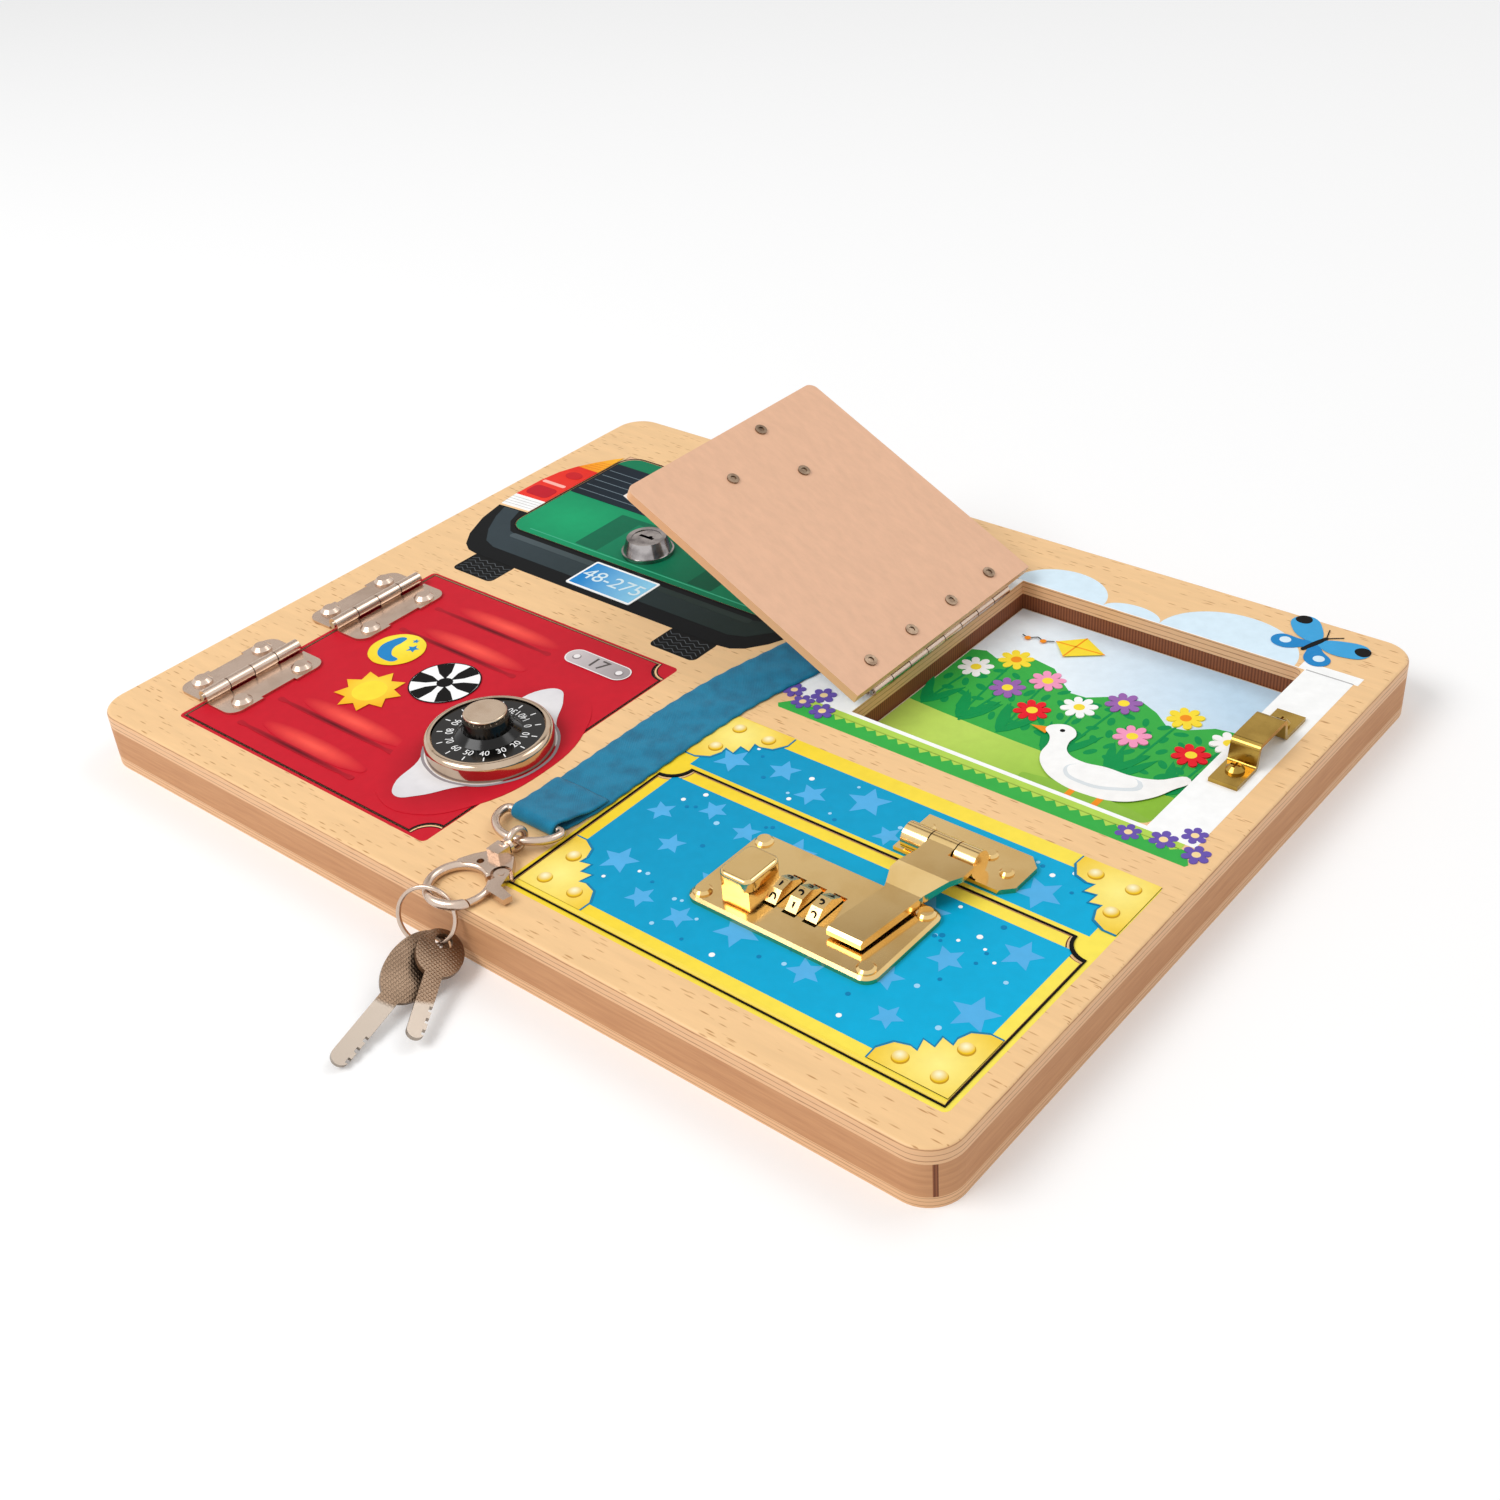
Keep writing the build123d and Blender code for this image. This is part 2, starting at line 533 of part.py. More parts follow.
def shape_edge(plane, side, start, length, sizes):
    """Rounds a leaf's outer corners and takes a shallow recess out of its outer edge."""
    radius, _, thickness, width = sizes
    round_x = side * (width - HINGE_CORNER)
    with BuildSketch(plane.offset(-CLEAR - radius)) as outline:
        with Locations((side * width, start), (side * width, start + length)):
            Rectangle(2 * HINGE_CORNER, 2 * HINGE_CORNER)
        with Locations((round_x, start + HINGE_CORNER), (round_x, start + length - HINGE_CORNER)):
            Circle(HINGE_CORNER, mode=Mode.SUBTRACT)
        with Locations((side * width, start + length / 2)):
            Rectangle(2 * HINGE_RECESS, HINGE_RECESS_LENGTH)
    extrude(outline.sketch, amount=thickness, mode=Mode.SUBTRACT)


LOCKER_SIZES = (HINGE_RADIUS, HINGE_PIN, HINGE_LEAF, HINGE_LEAF_WIDTH)
STRIP_SIZES = (STRIP_RADIUS, STRIP_PIN, STRIP_LEAF, STRIP_LEAF_WIDTH)
HINGE_KNUCKLE = HINGE_LENGTH / HINGE_KNUCKLES


def locker_leaves(side, parity, extra, rivets):
    """Adds the same leaf of both locker hinges to the part being made."""
    for centre in HINGE_CENTRES:
        start = centre - HINGE_LENGTH / 2
        leaf(LOCKER_HINGE, side, start, HINGE_KNUCKLE, HINGE_KNUCKLES, LOCKER_SIZES, parity, extra)
        relieve(LOCKER_HINGE, side, start, HINGE_KNUCKLE, HINGE_KNUCKLES, LOCKER_SIZES, parity)
        shape_edge(LOCKER_HINGE, side, start, HINGE_LENGTH, LOCKER_SIZES)
    holes(LOCKER_HINGE.offset(HINGE_LEAF - LOCKER_RISE), rivets, RIVET_SHANK, HINGE_LEAF)


def strip_leaf(plane, side, start, parity, extra, rivets):
    """Adds one leaf of a strip hinge to the part being made."""
    leaf(plane, side, start, STRIP_KNUCKLE, STRIP_KNUCKLES, STRIP_SIZES, parity, extra)
    relieve(plane, side, start, STRIP_KNUCKLE, STRIP_KNUCKLES, STRIP_SIZES, parity)
    holes(plane.offset(STRIP_LEAF - STRIP_RISE), rivets, SMALL_RIVET_SHANK, STRIP_LEAF)


with BuildPart() as locker_hinge_frame_leaves:
    locker_leaves(-1, 1, 0.0, LOCKER_FRAME_RIVETS)
finish(locker_hinge_frame_leaves, "locker_hinge_frame_leaves")

with BuildPart() as locker_hinge_door_leaves:
    locker_leaves(1, 0, RUNNING, LOCKER_RIVETS)
finish(locker_hinge_door_leaves, "locker_hinge_door_leaves")

with BuildPart() as locker_hinge_pins:
    for hinge_centre in HINGE_CENTRES:
        pin_start = hinge_centre - HINGE_LENGTH / 2
        rod(HINGE_PIN, -CLEAR, HINGE_LENGTH + CLEAR, across(LOCKER_HINGE, pin_start))
finish(locker_hinge_pins, "locker_hinge_pins")

with BuildPart() as locker_hinge_frame_rivets:
    domed_rivets(
        LOCKER_HINGE.offset(HINGE_LEAF - LOCKER_RISE), LOCKER_FRAME_RIVETS,
        RIVET_HEAD, RIVET_HEIGHT, RIVET_SHANK, RIVET_DEPTH,
    )
finish(locker_hinge_frame_rivets, "locker_hinge_frame_rivets")

with BuildPart() as locker_hinge_door_rivets:
    domed_rivets(
        LOCKER_HINGE.offset(HINGE_LEAF - LOCKER_RISE), LOCKER_RIVETS,
        RIVET_HEAD, RIVET_HEIGHT, RIVET_SHANK, RIVET_DEPTH,
    )
finish(locker_hinge_door_rivets, "locker_hinge_door_rivets")

with BuildPart() as strip_hinge_frame_leaves:
    strip_leaf(GARDEN_HINGE, -1, GARDEN_HINGE_START, 1, 0.0, GARDEN_FRAME_RIVETS)
    strip_leaf(TRUNK_HINGE, -1, TRUNK_HINGE_START, 1, 0.0, TRUNK_FRAME_RIVETS)
finish(strip_hinge_frame_leaves, "strip_hinge_frame_leaves")

with BuildPart() as strip_hinge_pins:
    rod(STRIP_PIN, -CLEAR, STRIP_LENGTH + CLEAR, across(GARDEN_HINGE, GARDEN_HINGE_START))
    rod(STRIP_PIN, -CLEAR, STRIP_LENGTH + CLEAR, across(TRUNK_HINGE, TRUNK_HINGE_START))
finish(strip_hinge_pins, "strip_hinge_pins")

with BuildPart() as strip_hinge_frame_rivets:
    for hinge, places in ((GARDEN_HINGE, GARDEN_FRAME_RIVETS), (TRUNK_HINGE, TRUNK_FRAME_RIVETS)):
        domed_rivets(
            hinge.offset(STRIP_LEAF - STRIP_RISE), places,
            SMALL_RIVET_HEAD, SMALL_RIVET_HEIGHT, SMALL_RIVET_SHANK, RIVET_DEPTH,
        )
finish(strip_hinge_frame_rivets, "strip_hinge_frame_rivets")

# --- locker door and dial ------------------------------------------------------------
DIAL_PLANE = Plane(origin=(DIAL_X, DIAL_Y, 0), x_dir=(1, 0, 0), z_dir=(0, 0, 1))

with BuildPart() as locker_door:
    with BuildSketch(Plane.XY.offset(DOOR_BOTTOM)):
        panel(LOCKER_DOOR)
        notches(LOCKER_NOTCH_CENTRES, LOCKER_NOTCH)
    extrude(amount=DOOR_THICKNESS)
    rod(NECK_RADIUS, DOOR_BOTTOM, TOP, DIAL_PLANE, Mode.SUBTRACT)
    holes(LOCKER_HINGE.offset(-LOCKER_RISE), LOCKER_RIVETS, RIVET_SHANK, RIVET_DEPTH - HINGE_LEAF)
finish(locker_door, "locker_door")

with BuildPart() as dial_case:
    rod(DIAL_CASE_RADIUS, TOP, TOP + DIAL_CASE_HEIGHT, DIAL_PLANE)
    fillet(dial_case.faces().sort_by(Axis.Z)[-1].edges(), 2.0)
    cup_radius = DIAL_CASE_RADIUS - DIAL_CASE_WALL
    rod(cup_radius, TOP + DIAL_CASE_FLOOR, TOP + DIAL_CASE_HEIGHT, DIAL_PLANE, Mode.SUBTRACT)
    rod(NECK_RADIUS, LOCK_NECK_END, TOP, DIAL_PLANE)
    rod(SPINDLE_RADIUS + RUNNING, LOCK_NECK_END, TOP + DIAL_CASE_FLOOR, DIAL_PLANE, Mode.SUBTRACT)
finish(dial_case, "dial_case")

with BuildPart() as dial_case_nut:
    with BuildSketch(DIAL_PLANE.offset(DOOR_BOTTOM - LOCK_NUT_THICKNESS)):
        RegularPolygon(DIAL_NUT_RADIUS, 6)
        Circle(NECK_RADIUS, mode=Mode.SUBTRACT)
    extrude(amount=LOCK_NUT_THICKNESS)
finish(dial_case_nut, "dial_case_nut")

with BuildPart() as dial_face:
    face_bottom = TOP + DIAL_FACE_HEIGHT - DIAL_FACE_THICKNESS
    rod(cup_radius - CLEAR, face_bottom, TOP + DIAL_FACE_HEIGHT, DIAL_PLANE)
    skirt_bottom = TOP + DIAL_FACE_HEIGHT + DIAL_FLARE_HEIGHT
    with BuildSketch(DIAL_PLANE.offset(TOP + DIAL_FACE_HEIGHT)):
        Circle(DIAL_FLARE_RADIUS)
    with BuildSketch(DIAL_PLANE.offset(skirt_bottom)):
        Circle(DIAL_SKIRT_RADIUS)
    loft()
    with BuildSketch(DIAL_PLANE.offset(skirt_bottom)):
        Circle(DIAL_SKIRT_RADIUS)
    with BuildSketch(DIAL_PLANE.offset(TOP + DIAL_CAP_BOTTOM)):
        Circle(DIAL_SKIRT_TOP_RADIUS)
    loft()
    with BuildSketch(DIAL_PLANE.offset(skirt_bottom)):
        with PolarLocations(DIAL_SKIRT_RADIUS, DIAL_SKIRT_RIBS):
            Circle(DIAL_RIB_RADIUS)
    extrude(amount=TOP + DIAL_CAP_BOTTOM - skirt_bottom, mode=Mode.SUBTRACT)
    rod(SPINDLE_RADIUS, face_bottom, TOP + DIAL_CAP_BOTTOM, DIAL_PLANE, Mode.SUBTRACT)
finish(dial_face, "dial_face")

with BuildPart() as dial_spindle:
    rod(DIAL_CAP_RADIUS, TOP + DIAL_CAP_BOTTOM, TOP + DIAL_CAP_TOP, DIAL_PLANE)
    fillet(dial_spindle.faces().sort_by(Axis.Z)[-1].edges(), 0.6)
    rod(SPINDLE_RADIUS, TONGUE_TOP, TOP + DIAL_CAP_BOTTOM, DIAL_PLANE)
    rod(STUB_RADIUS, TONGUE_TOP - TONGUE_THICKNESS, TONGUE_TOP, DIAL_PLANE)
    stub_end = TONGUE_TOP - TONGUE_THICKNESS
    rod(PEEN_RADIUS, stub_end - PEEN_THICKNESS, stub_end, DIAL_PLANE)
finish(dial_spindle, "dial_spindle")


def tongue(plane, reach, heading):
    """Adds a lock tongue that reaches out from a spindle in the heading's direction."""
    length = reach - TONGUE_WIDTH / 2
    with BuildSketch(plane.rotated((0, 0, heading)).offset(TONGUE_TOP - TONGUE_THICKNESS)) as outline:
        Circle(TONGUE_WIDTH / 2 + 1.5)
        with Locations((length / 2, 0)):
            Rectangle(length, TONGUE_WIDTH)
        with Locations((length, 0)):
            Circle(TONGUE_WIDTH / 2)
        Circle(STUB_RADIUS, mode=Mode.SUBTRACT)
    extrude(outline.sketch, amount=TONGUE_THICKNESS)


with BuildPart() as dial_cam:
    tongue(DIAL_PLANE, DIAL_TONGUE, 180)
finish(dial_cam, "dial_cam")

# --- trunk door and cam lock ---------------------------------------------------------
CAM_PLANE = Plane(origin=(CAM_X, CAM_Y, 0), x_dir=(1, 0, 0), z_dir=(0, 0, 1))

with BuildPart() as trunk_door:
    with BuildSketch(Plane.XY.offset(DOOR_BOTTOM)) as trunk_shape:
        panel(TRUNK_DOOR)
        fillet(trunk_shape.vertices().group_by(Axis.Y)[0], TRUNK_CORNER)
    extrude(amount=DOOR_THICKNESS)
    rod(CAM_NECK_RADIUS, DOOR_BOTTOM, TOP, CAM_PLANE, Mode.SUBTRACT)
    holes(TRUNK_HINGE.offset(-STRIP_RISE), TRUNK_RIVETS, SMALL_RIVET_SHANK, DOOR_THICKNESS)
finish(trunk_door, "trunk_door")

with BuildPart() as trunk_hinge_door_leaf:
    strip_leaf(TRUNK_HINGE, 1, TRUNK_HINGE_START, 0, RUNNING, TRUNK_RIVETS)
finish(trunk_hinge_door_leaf, "trunk_hinge_door_leaf")


def through_rivets(plane, places, above):
    """Adds rivets that pass right through a door and are spread open at its back."""
    domed_rivets(
        plane.offset(above), places, SMALL_RIVET_HEAD, SMALL_RIVET_HEIGHT,
        SMALL_RIVET_SHANK, above + DOOR_THICKNESS,
    )
    with BuildSketch(plane.offset(-DOOR_THICKNESS)) as outline:
        with Locations(*places):
            Circle(SMALL_RIVET_HEAD)
    extrude(outline.sketch, amount=-0.6)
    with BuildSketch(plane.offset(-DOOR_THICKNESS - 0.6)) as outline:
        with Locations(*places):
            Circle(SMALL_RIVET_HEAD * 0.5)
    extrude(outline.sketch, amount=0.4, mode=Mode.SUBTRACT)


with BuildPart() as trunk_hinge_rivets:
    through_rivets(TRUNK_HINGE.offset(-STRIP_RISE), TRUNK_RIVETS, STRIP_LEAF)
finish(trunk_hinge_rivets, "trunk_hinge_rivets")

with BuildPart() as cam_lock_body:
    rod(CAM_FLANGE_RADIUS, TOP, TOP + CAM_FLANGE_HEIGHT, CAM_PLANE)
    with BuildSketch(CAM_PLANE.offset(TOP + CAM_FLANGE_HEIGHT)):
        Circle(CAM_FLANGE_RADIUS - 0.6)
    with BuildSketch(CAM_PLANE.offset(TOP + CAM_HEIGHT)):
        Circle(CAM_TOP_RADIUS)
    loft()
    rod(CAM_NECK_RADIUS, LOCK_NECK_END, TOP, CAM_PLANE)
    rod(PLUG_RADIUS + RUNNING, LOCK_NECK_END, TOP + CAM_HEIGHT, CAM_PLANE, Mode.SUBTRACT)
finish(cam_lock_body, "cam_lock_body")

with BuildPart() as cam_lock_nut:
    with BuildSketch(CAM_PLANE.offset(DOOR_BOTTOM - LOCK_NUT_THICKNESS)):
        RegularPolygon(CAM_NUT_RADIUS, 6)
        Circle(CAM_NECK_RADIUS, mode=Mode.SUBTRACT)
    extrude(amount=LOCK_NUT_THICKNESS)
finish(cam_lock_nut, "cam_lock_nut")

with BuildPart() as cam_lock_plug:
    rod(PLUG_RADIUS, TONGUE_TOP, TOP + CAM_HEIGHT - 0.3, CAM_PLANE)
    rod(STUB_RADIUS, TONGUE_TOP - TONGUE_THICKNESS, TONGUE_TOP, CAM_PLANE)
    rod(PEEN_RADIUS, stub_end - PEEN_THICKNESS, stub_end, CAM_PLANE)
    with BuildSketch(CAM_PLANE.offset(TOP + CAM_HEIGHT - 0.3)):
        Rectangle(KEYHOLE_LENGTH, KEYHOLE_WIDTH)
        with Locations((KEYHOLE_LENGTH * 0.2, KEYHOLE_WIDTH / 2)):
            Circle(KEYHOLE_WIDTH * 0.6)
    extrude(amount=-KEYHOLE_DEPTH, mode=Mode.SUBTRACT)
finish(cam_lock_plug, "cam_lock_plug")

with BuildPart() as cam_lock_tongue:
    tongue(CAM_PLANE, CAM_TONGUE, 0)
finish(cam_lock_tongue, "cam_lock_tongue")

# --- garden door and bolt ------------------------------------------------------------
GARDEN_FACE = GARDEN_REST.offset(-STRIP_RISE)

with BuildPart() as garden_door:
    with BuildSketch(GARDEN_FACE):
        panel((DOOR_GAP / 2, GARDEN_FREE_EDGE, GARDEN_DOOR[2], GARDEN_DOOR[3]))
    extrude(amount=-DOOR_THICKNESS)
    door_edges = garden_door.edges().filter_by(lambda e: abs(e.length - DOOR_THICKNESS) < 0.01)
    fillet(door_edges.sort_by(Axis.X)[:2], GARDEN_CORNER)
    holes(GARDEN_FACE, GARDEN_RIVETS, SMALL_RIVET_SHANK, DOOR_THICKNESS)
    holes(GARDEN_FACE, BOLT_RIVETS, SMALL_RIVET_SHANK, DOOR_THICKNESS)
finish(garden_door, "garden_door")

with BuildPart() as garden_hinge_door_leaf:
    strip_leaf(GARDEN_REST, 1, GARDEN_HINGE_START, 0, RUNNING, GARDEN_RIVETS)
finish(garden_hinge_door_leaf, "garden_hinge_door_leaf")

with BuildPart() as garden_hinge_rivets:
    through_rivets(GARDEN_FACE, GARDEN_RIVETS, STRIP_LEAF)
finish(garden_hinge_rivets, "garden_hinge_rivets")

BOLT_AXIS = Plane(
    origin=GARDEN_FACE.from_local_coords(Vector(0, BOLT_Y, BOLT_RISE)),
    x_dir=GARDEN_FACE.y_dir,
    z_dir=GARDEN_FACE.x_dir,
)

with BuildPart() as bolt_plate:
    with BuildSketch(GARDEN_FACE):
        panel(BOLT_PLATE)
    extrude(amount=BOLT_PLATE_THICKNESS)
    housing_middle = (BOLT_HOUSING[0] + BOLT_HOUSING[1]) / 2
    with BuildSketch(GARDEN_FACE):
        with Locations((housing_middle, BOLT_Y)):
            RectangleRounded(BOLT_HOUSING[1] - BOLT_HOUSING[0], BOLT_HOUSING[2], 2.0)
    extrude(amount=BOLT_HOUSING_HEIGHT)
    rod(BOLT_RADIUS + RUNNING, BOLT_HOUSING[0], BOLT_HOUSING[1], BOLT_AXIS, Mode.SUBTRACT)
    with BuildSketch(GARDEN_FACE.offset(BOLT_RISE)):
        with Locations((BOLT_KNOB_AT + BOLT_TRAVEL / 2, BOLT_Y)):
            SlotCenterToCenter(BOLT_TRAVEL, 2 * (BOLT_KNOB_STEM + CLEAR))
    extrude(amount=BOLT_HOUSING_HEIGHT, mode=Mode.SUBTRACT)
    holes(GARDEN_FACE.offset(BOLT_PLATE_THICKNESS), BOLT_RIVETS, SMALL_RIVET_SHANK, BOLT_PLATE_THICKNESS)
finish(bolt_plate, "bolt_plate")

with BuildPart() as bolt_plate_rivets:
    through_rivets(GARDEN_FACE, BOLT_RIVETS, BOLT_PLATE_THICKNESS)
finish(bolt_plate_rivets, "bolt_plate_rivets")

with BuildPart() as slide_bolt:
    rod(BOLT_RADIUS, BOLT_REACH - BOLT_LENGTH, BOLT_REACH, BOLT_AXIS)
    knob_plane = Plane(
        origin=GARDEN_FACE.from_local_coords(Vector(BOLT_KNOB_AT, BOLT_Y, 0)),
        x_dir=GARDEN_FACE.x_dir,
        z_dir=GARDEN_FACE.z_dir,
    )
    rod(BOLT_KNOB_STEM, BOLT_RISE, BOLT_KNOB_HEIGHT, knob_plane)
    rod(BOLT_KNOB_RADIUS, BOLT_KNOB_HEIGHT - BOLT_KNOB_THICKNESS, BOLT_KNOB_HEIGHT, knob_plane)
finish(slide_bolt, "slide_bolt")

with BuildPart() as bolt_keeper:
    half = KEEPER_THICKNESS / 2
    loop_front = BOLT_Y - KEEPER_LOOP / 2
    loop_back = BOLT_Y + KEEPER_LOOP / 2
    with BuildSketch(Plane(origin=(KEEPER_X - KEEPER_WIDTH / 2, 0, TOP), x_dir=(0, 1, 0), z_dir=(1, 0, 0))):
        with BuildLine():
            FilletPolyline(
                (KEEPER_FRONT, half),
                (loop_front - 1.5, half),
                (loop_front, KEEPER_HEIGHT - half),
                (loop_back, KEEPER_HEIGHT - half),
                (loop_back + 1.5, half),
                (KEEPER_BACK, half),
                radius=1.6,
            )
        trace(line_width=KEEPER_THICKNESS)
    extrude(amount=KEEPER_WIDTH)
    holes(SURFACE.offset(KEEPER_THICKNESS), KEEPER_SCREW_PLACES, RIVET_SHANK, KEEPER_THICKNESS)
finish(bolt_keeper, "bolt_keeper")


def cross_screws(plane, places, depth):
    """Adds pan head screws with a cross recess standing on a plane."""
    domed_rivets(plane, places, SCREW_HEAD, RIVET_HEIGHT, RIVET_SHANK, depth)
    with BuildSketch(plane.offset(RIVET_HEIGHT - 1.0)) as outline:
        with Locations(*places):
            Rectangle(SCREW_HEAD * 1.1, 0.7)
            Rectangle(0.7, SCREW_HEAD * 1.1)
    extrude(outline.sketch, amount=1.0, mode=Mode.SUBTRACT)


with BuildPart() as keeper_screws:
    cross_screws(SURFACE.offset(KEEPER_THICKNESS), KEEPER_SCREW_PLACES, RIVET_DEPTH)
finish(keeper_screws, "keeper_screws")

# --- chest door and number lock ------------------------------------------------------
LUGS = [WHEEL_MIDDLE + WHEEL_PITCH * step for step in (-1.5, -0.5, 0.5, 1.5)]
SHAFT_PLANE = Plane(origin=(0, WHEEL_Y, WHEEL_AXIS_Z), x_dir=(0, 1, 0), z_dir=(1, 0, 0))
SLOT_REACH = WHEEL_RADIUS + CLEAR

with BuildPart() as chest_door:
    with BuildSketch(Plane.XY.offset(DOOR_BOTTOM)):
        panel(CHEST_DOOR)
        notches(CHEST_NOTCH_CENTRES, CHEST_NOTCH)
    extrude(amount=DOOR_THICKNESS)
    front_top = chest_door.edges().filter_by(Axis.X).group_by(Axis.Y)[0].sort_by(Axis.Z)[-1]
    fillet(front_top, DOOR_THICKNESS / 2 - 0.01)
    pin_bore = PIVOT_PIN + RUNNING
    rod(pin_bore, CHEST_DOOR[0], CHEST_DOOR[0] + PIVOT_PIN_SEAT + CLEAR, pin_plane, Mode.SUBTRACT)
    rod(pin_bore, CHEST_DOOR[1] - PIVOT_PIN_SEAT - CLEAR, CHEST_DOOR[1], pin_plane, Mode.SUBTRACT)
    box(
        LUGS[0] - LUG_THICKNESS / 2, LUGS[3] + LUG_THICKNESS / 2, WHEEL_Y - SLOT_REACH,
        WHEEL_Y + SLOT_REACH, DOOR_BOTTOM, TOP, Mode.SUBTRACT,
    )
    holes(SURFACE, LOCK_RIVETS, SMALL_RIVET_SHANK, DOOR_THICKNESS)
finish(chest_door, "chest_door")

with BuildPart() as chest_pivot_pins:
    rod(PIVOT_PIN, left_seat - PIVOT_PIN_SEAT, CHEST_DOOR[0] + PIVOT_PIN_SEAT, pin_plane)
    rod(PIVOT_PIN, CHEST_DOOR[1] - PIVOT_PIN_SEAT, right_seat + PIVOT_PIN_SEAT, pin_plane)
finish(chest_pivot_pins, "chest_pivot_pins")

with BuildPart() as lock_plate:
    with BuildSketch(SURFACE):
        with Locations(centre_of(LOCK_PLATE)):
            RectangleRounded(
                LOCK_PLATE[1] - LOCK_PLATE[0], LOCK_PLATE[3] - LOCK_PLATE[2], LOCK_PLATE_CORNER
            )
    extrude(amount=LOCK_PLATE_THICKNESS)
    chamfer(lock_plate.faces().sort_by(Axis.Z)[-1].edges(), 0.9)
    box(
        BUTTON[0] + BUTTON_INSET, BUTTON[1] - BUTTON_INSET, BUTTON[2] + BUTTON_INSET,
        BUTTON[3] - BUTTON_INSET, TOP, TOP + BUTTON_BASE_HEIGHT,
    )
    stem_x = (BUTTON[0] + BUTTON[1]) / 2
    stem_y = (BUTTON[2] + BUTTON[3]) / 2
    half_stem = BUTTON_STEM / 2
    box(
        stem_x - half_stem - BUTTON_TRAVEL - CLEAR, stem_x + half_stem + CLEAR,
        stem_y - half_stem - RUNNING, stem_y + half_stem + RUNNING,
        TOP + LOCK_PLATE_THICKNESS, TOP + BUTTON_BASE_HEIGHT, Mode.SUBTRACT,
    )
    for lug in LUGS:
        box(
            lug - LUG_THICKNESS / 2, lug + LUG_THICKNESS / 2, WHEEL_Y - 2.5, WHEEL_Y + 2.5,
            TOP - LUG_DEPTH, TOP,
        )
    for wheel_x in WHEEL_CENTRES:
        box(
            wheel_x - WHEEL_WIDTH / 2 - CLEAR, wheel_x + WHEEL_WIDTH / 2 + CLEAR,
            WHEEL_Y - SLOT_REACH, WHEEL_Y + SLOT_REACH, TOP - LUG_DEPTH,
            TOP + LOCK_PLATE_THICKNESS, Mode.SUBTRACT,
        )
    shaft_start = LUGS[0] - LUG_THICKNESS / 2
    shaft_end = LUGS[3] + LUG_THICKNESS / 2
    rod(WHEEL_SHAFT, shaft_start, shaft_end, SHAFT_PLANE, Mode.SUBTRACT)
    holes(SURFACE.offset(LOCK_PLATE_THICKNESS), LOCK_RIVETS, SMALL_RIVET_SHANK, LOCK_PLATE_THICKNESS)
finish(lock_plate, "lock_plate")

with BuildPart() as lock_plate_rivets:
    domed_rivets(
        SURFACE.offset(LOCK_PLATE_THICKNESS), LOCK_RIVETS, LOCK_RIVET_HEAD,
        SMALL_RIVET_HEIGHT, SMALL_RIVET_SHANK, LOCK_PLATE_THICKNESS + DOOR_THICKNESS,
    )
finish(lock_plate_rivets, "lock_plate_rivets")

with BuildPart() as wheel_shaft:
    rod(WHEEL_SHAFT, shaft_start, shaft_end, SHAFT_PLANE)
finish(wheel_shaft, "wheel_shaft")

for wheel_name, wheel_x in zip(("left", "middle", "right"), WHEEL_CENTRES):
    with BuildPart() as number_wheel:
        with BuildSketch(SHAFT_PLANE.offset(wheel_x - WHEEL_WIDTH / 2)):
            RegularPolygon(WHEEL_RADIUS, 10, rotation=9)
            Circle(WHEEL_SHAFT + RUNNING, mode=Mode.SUBTRACT)
        extrude(amount=WHEEL_WIDTH)
    finish(number_wheel, f"number_wheel_{wheel_name}")

with BuildPart() as release_button:
    with BuildSketch(SURFACE.offset(BUTTON_BOTTOM)):
        with Locations(centre_of(BUTTON)):
            RectangleRounded(BUTTON[1] - BUTTON[0], BUTTON[3] - BUTTON[2], BUTTON_CORNER)
    extrude(amount=BUTTON_HEIGHT - BUTTON_BOTTOM)
    fillet(release_button.faces().sort_by(Axis.Z)[-1].edges(), BUTTON_ROUND)
    box(
        stem_x - half_stem, stem_x + half_stem, stem_y - half_stem, stem_y + half_stem,
        TOP + LOCK_PLATE_THICKNESS + CLEAR, TOP + BUTTON_BOTTOM,
    )
finish(release_button, "release_button")

# --- hasp ----------------------------------------------------------------------------
HASP_AXIS = Plane(origin=(0, HASP_Y, HASP_Z), x_dir=(0, 1, 0), z_dir=(1, 0, 0))

with BuildPart() as hasp_bracket:
    with BuildSketch(SURFACE) as bracket_outline:
        panel(HASP_PLATE)
        chamfer(bracket_outline.vertices().group_by(Axis.X)[-1], HASP_CORNER)
    extrude(amount=HASP_PLATE_THICKNESS)
    for knuckle_start, knuckle_end in (HASP_KNUCKLES[0:2], HASP_KNUCKLES[4:6]):
        box(knuckle_start, knuckle_end, HASP_Y - 2.5, HASP_Y + 2.5, TOP, HASP_Z)
        rod(HASP_RADIUS, knuckle_start, knuckle_end, HASP_AXIS)
    box(
        HASP_KNUCKLES[1], HASP_KNUCKLES[4], HASP_PLATE[2], HASP_Y + HASP_RADIUS,
        TOP, TOP + HASP_PLATE_THICKNESS, Mode.SUBTRACT,
    )
    rod(HASP_PIN, HASP_KNUCKLES[0], HASP_KNUCKLES[5], HASP_AXIS, Mode.SUBTRACT)
    holes(SURFACE.offset(HASP_PLATE_THICKNESS), HASP_RIVETS, SMALL_RIVET_SHANK, HASP_PLATE_THICKNESS)
finish(hasp_bracket, "hasp_bracket")

with BuildPart() as hasp_pin:
    rod(HASP_PIN, HASP_KNUCKLES[0], HASP_KNUCKLES[5], HASP_AXIS)
finish(hasp_pin, "hasp_pin")

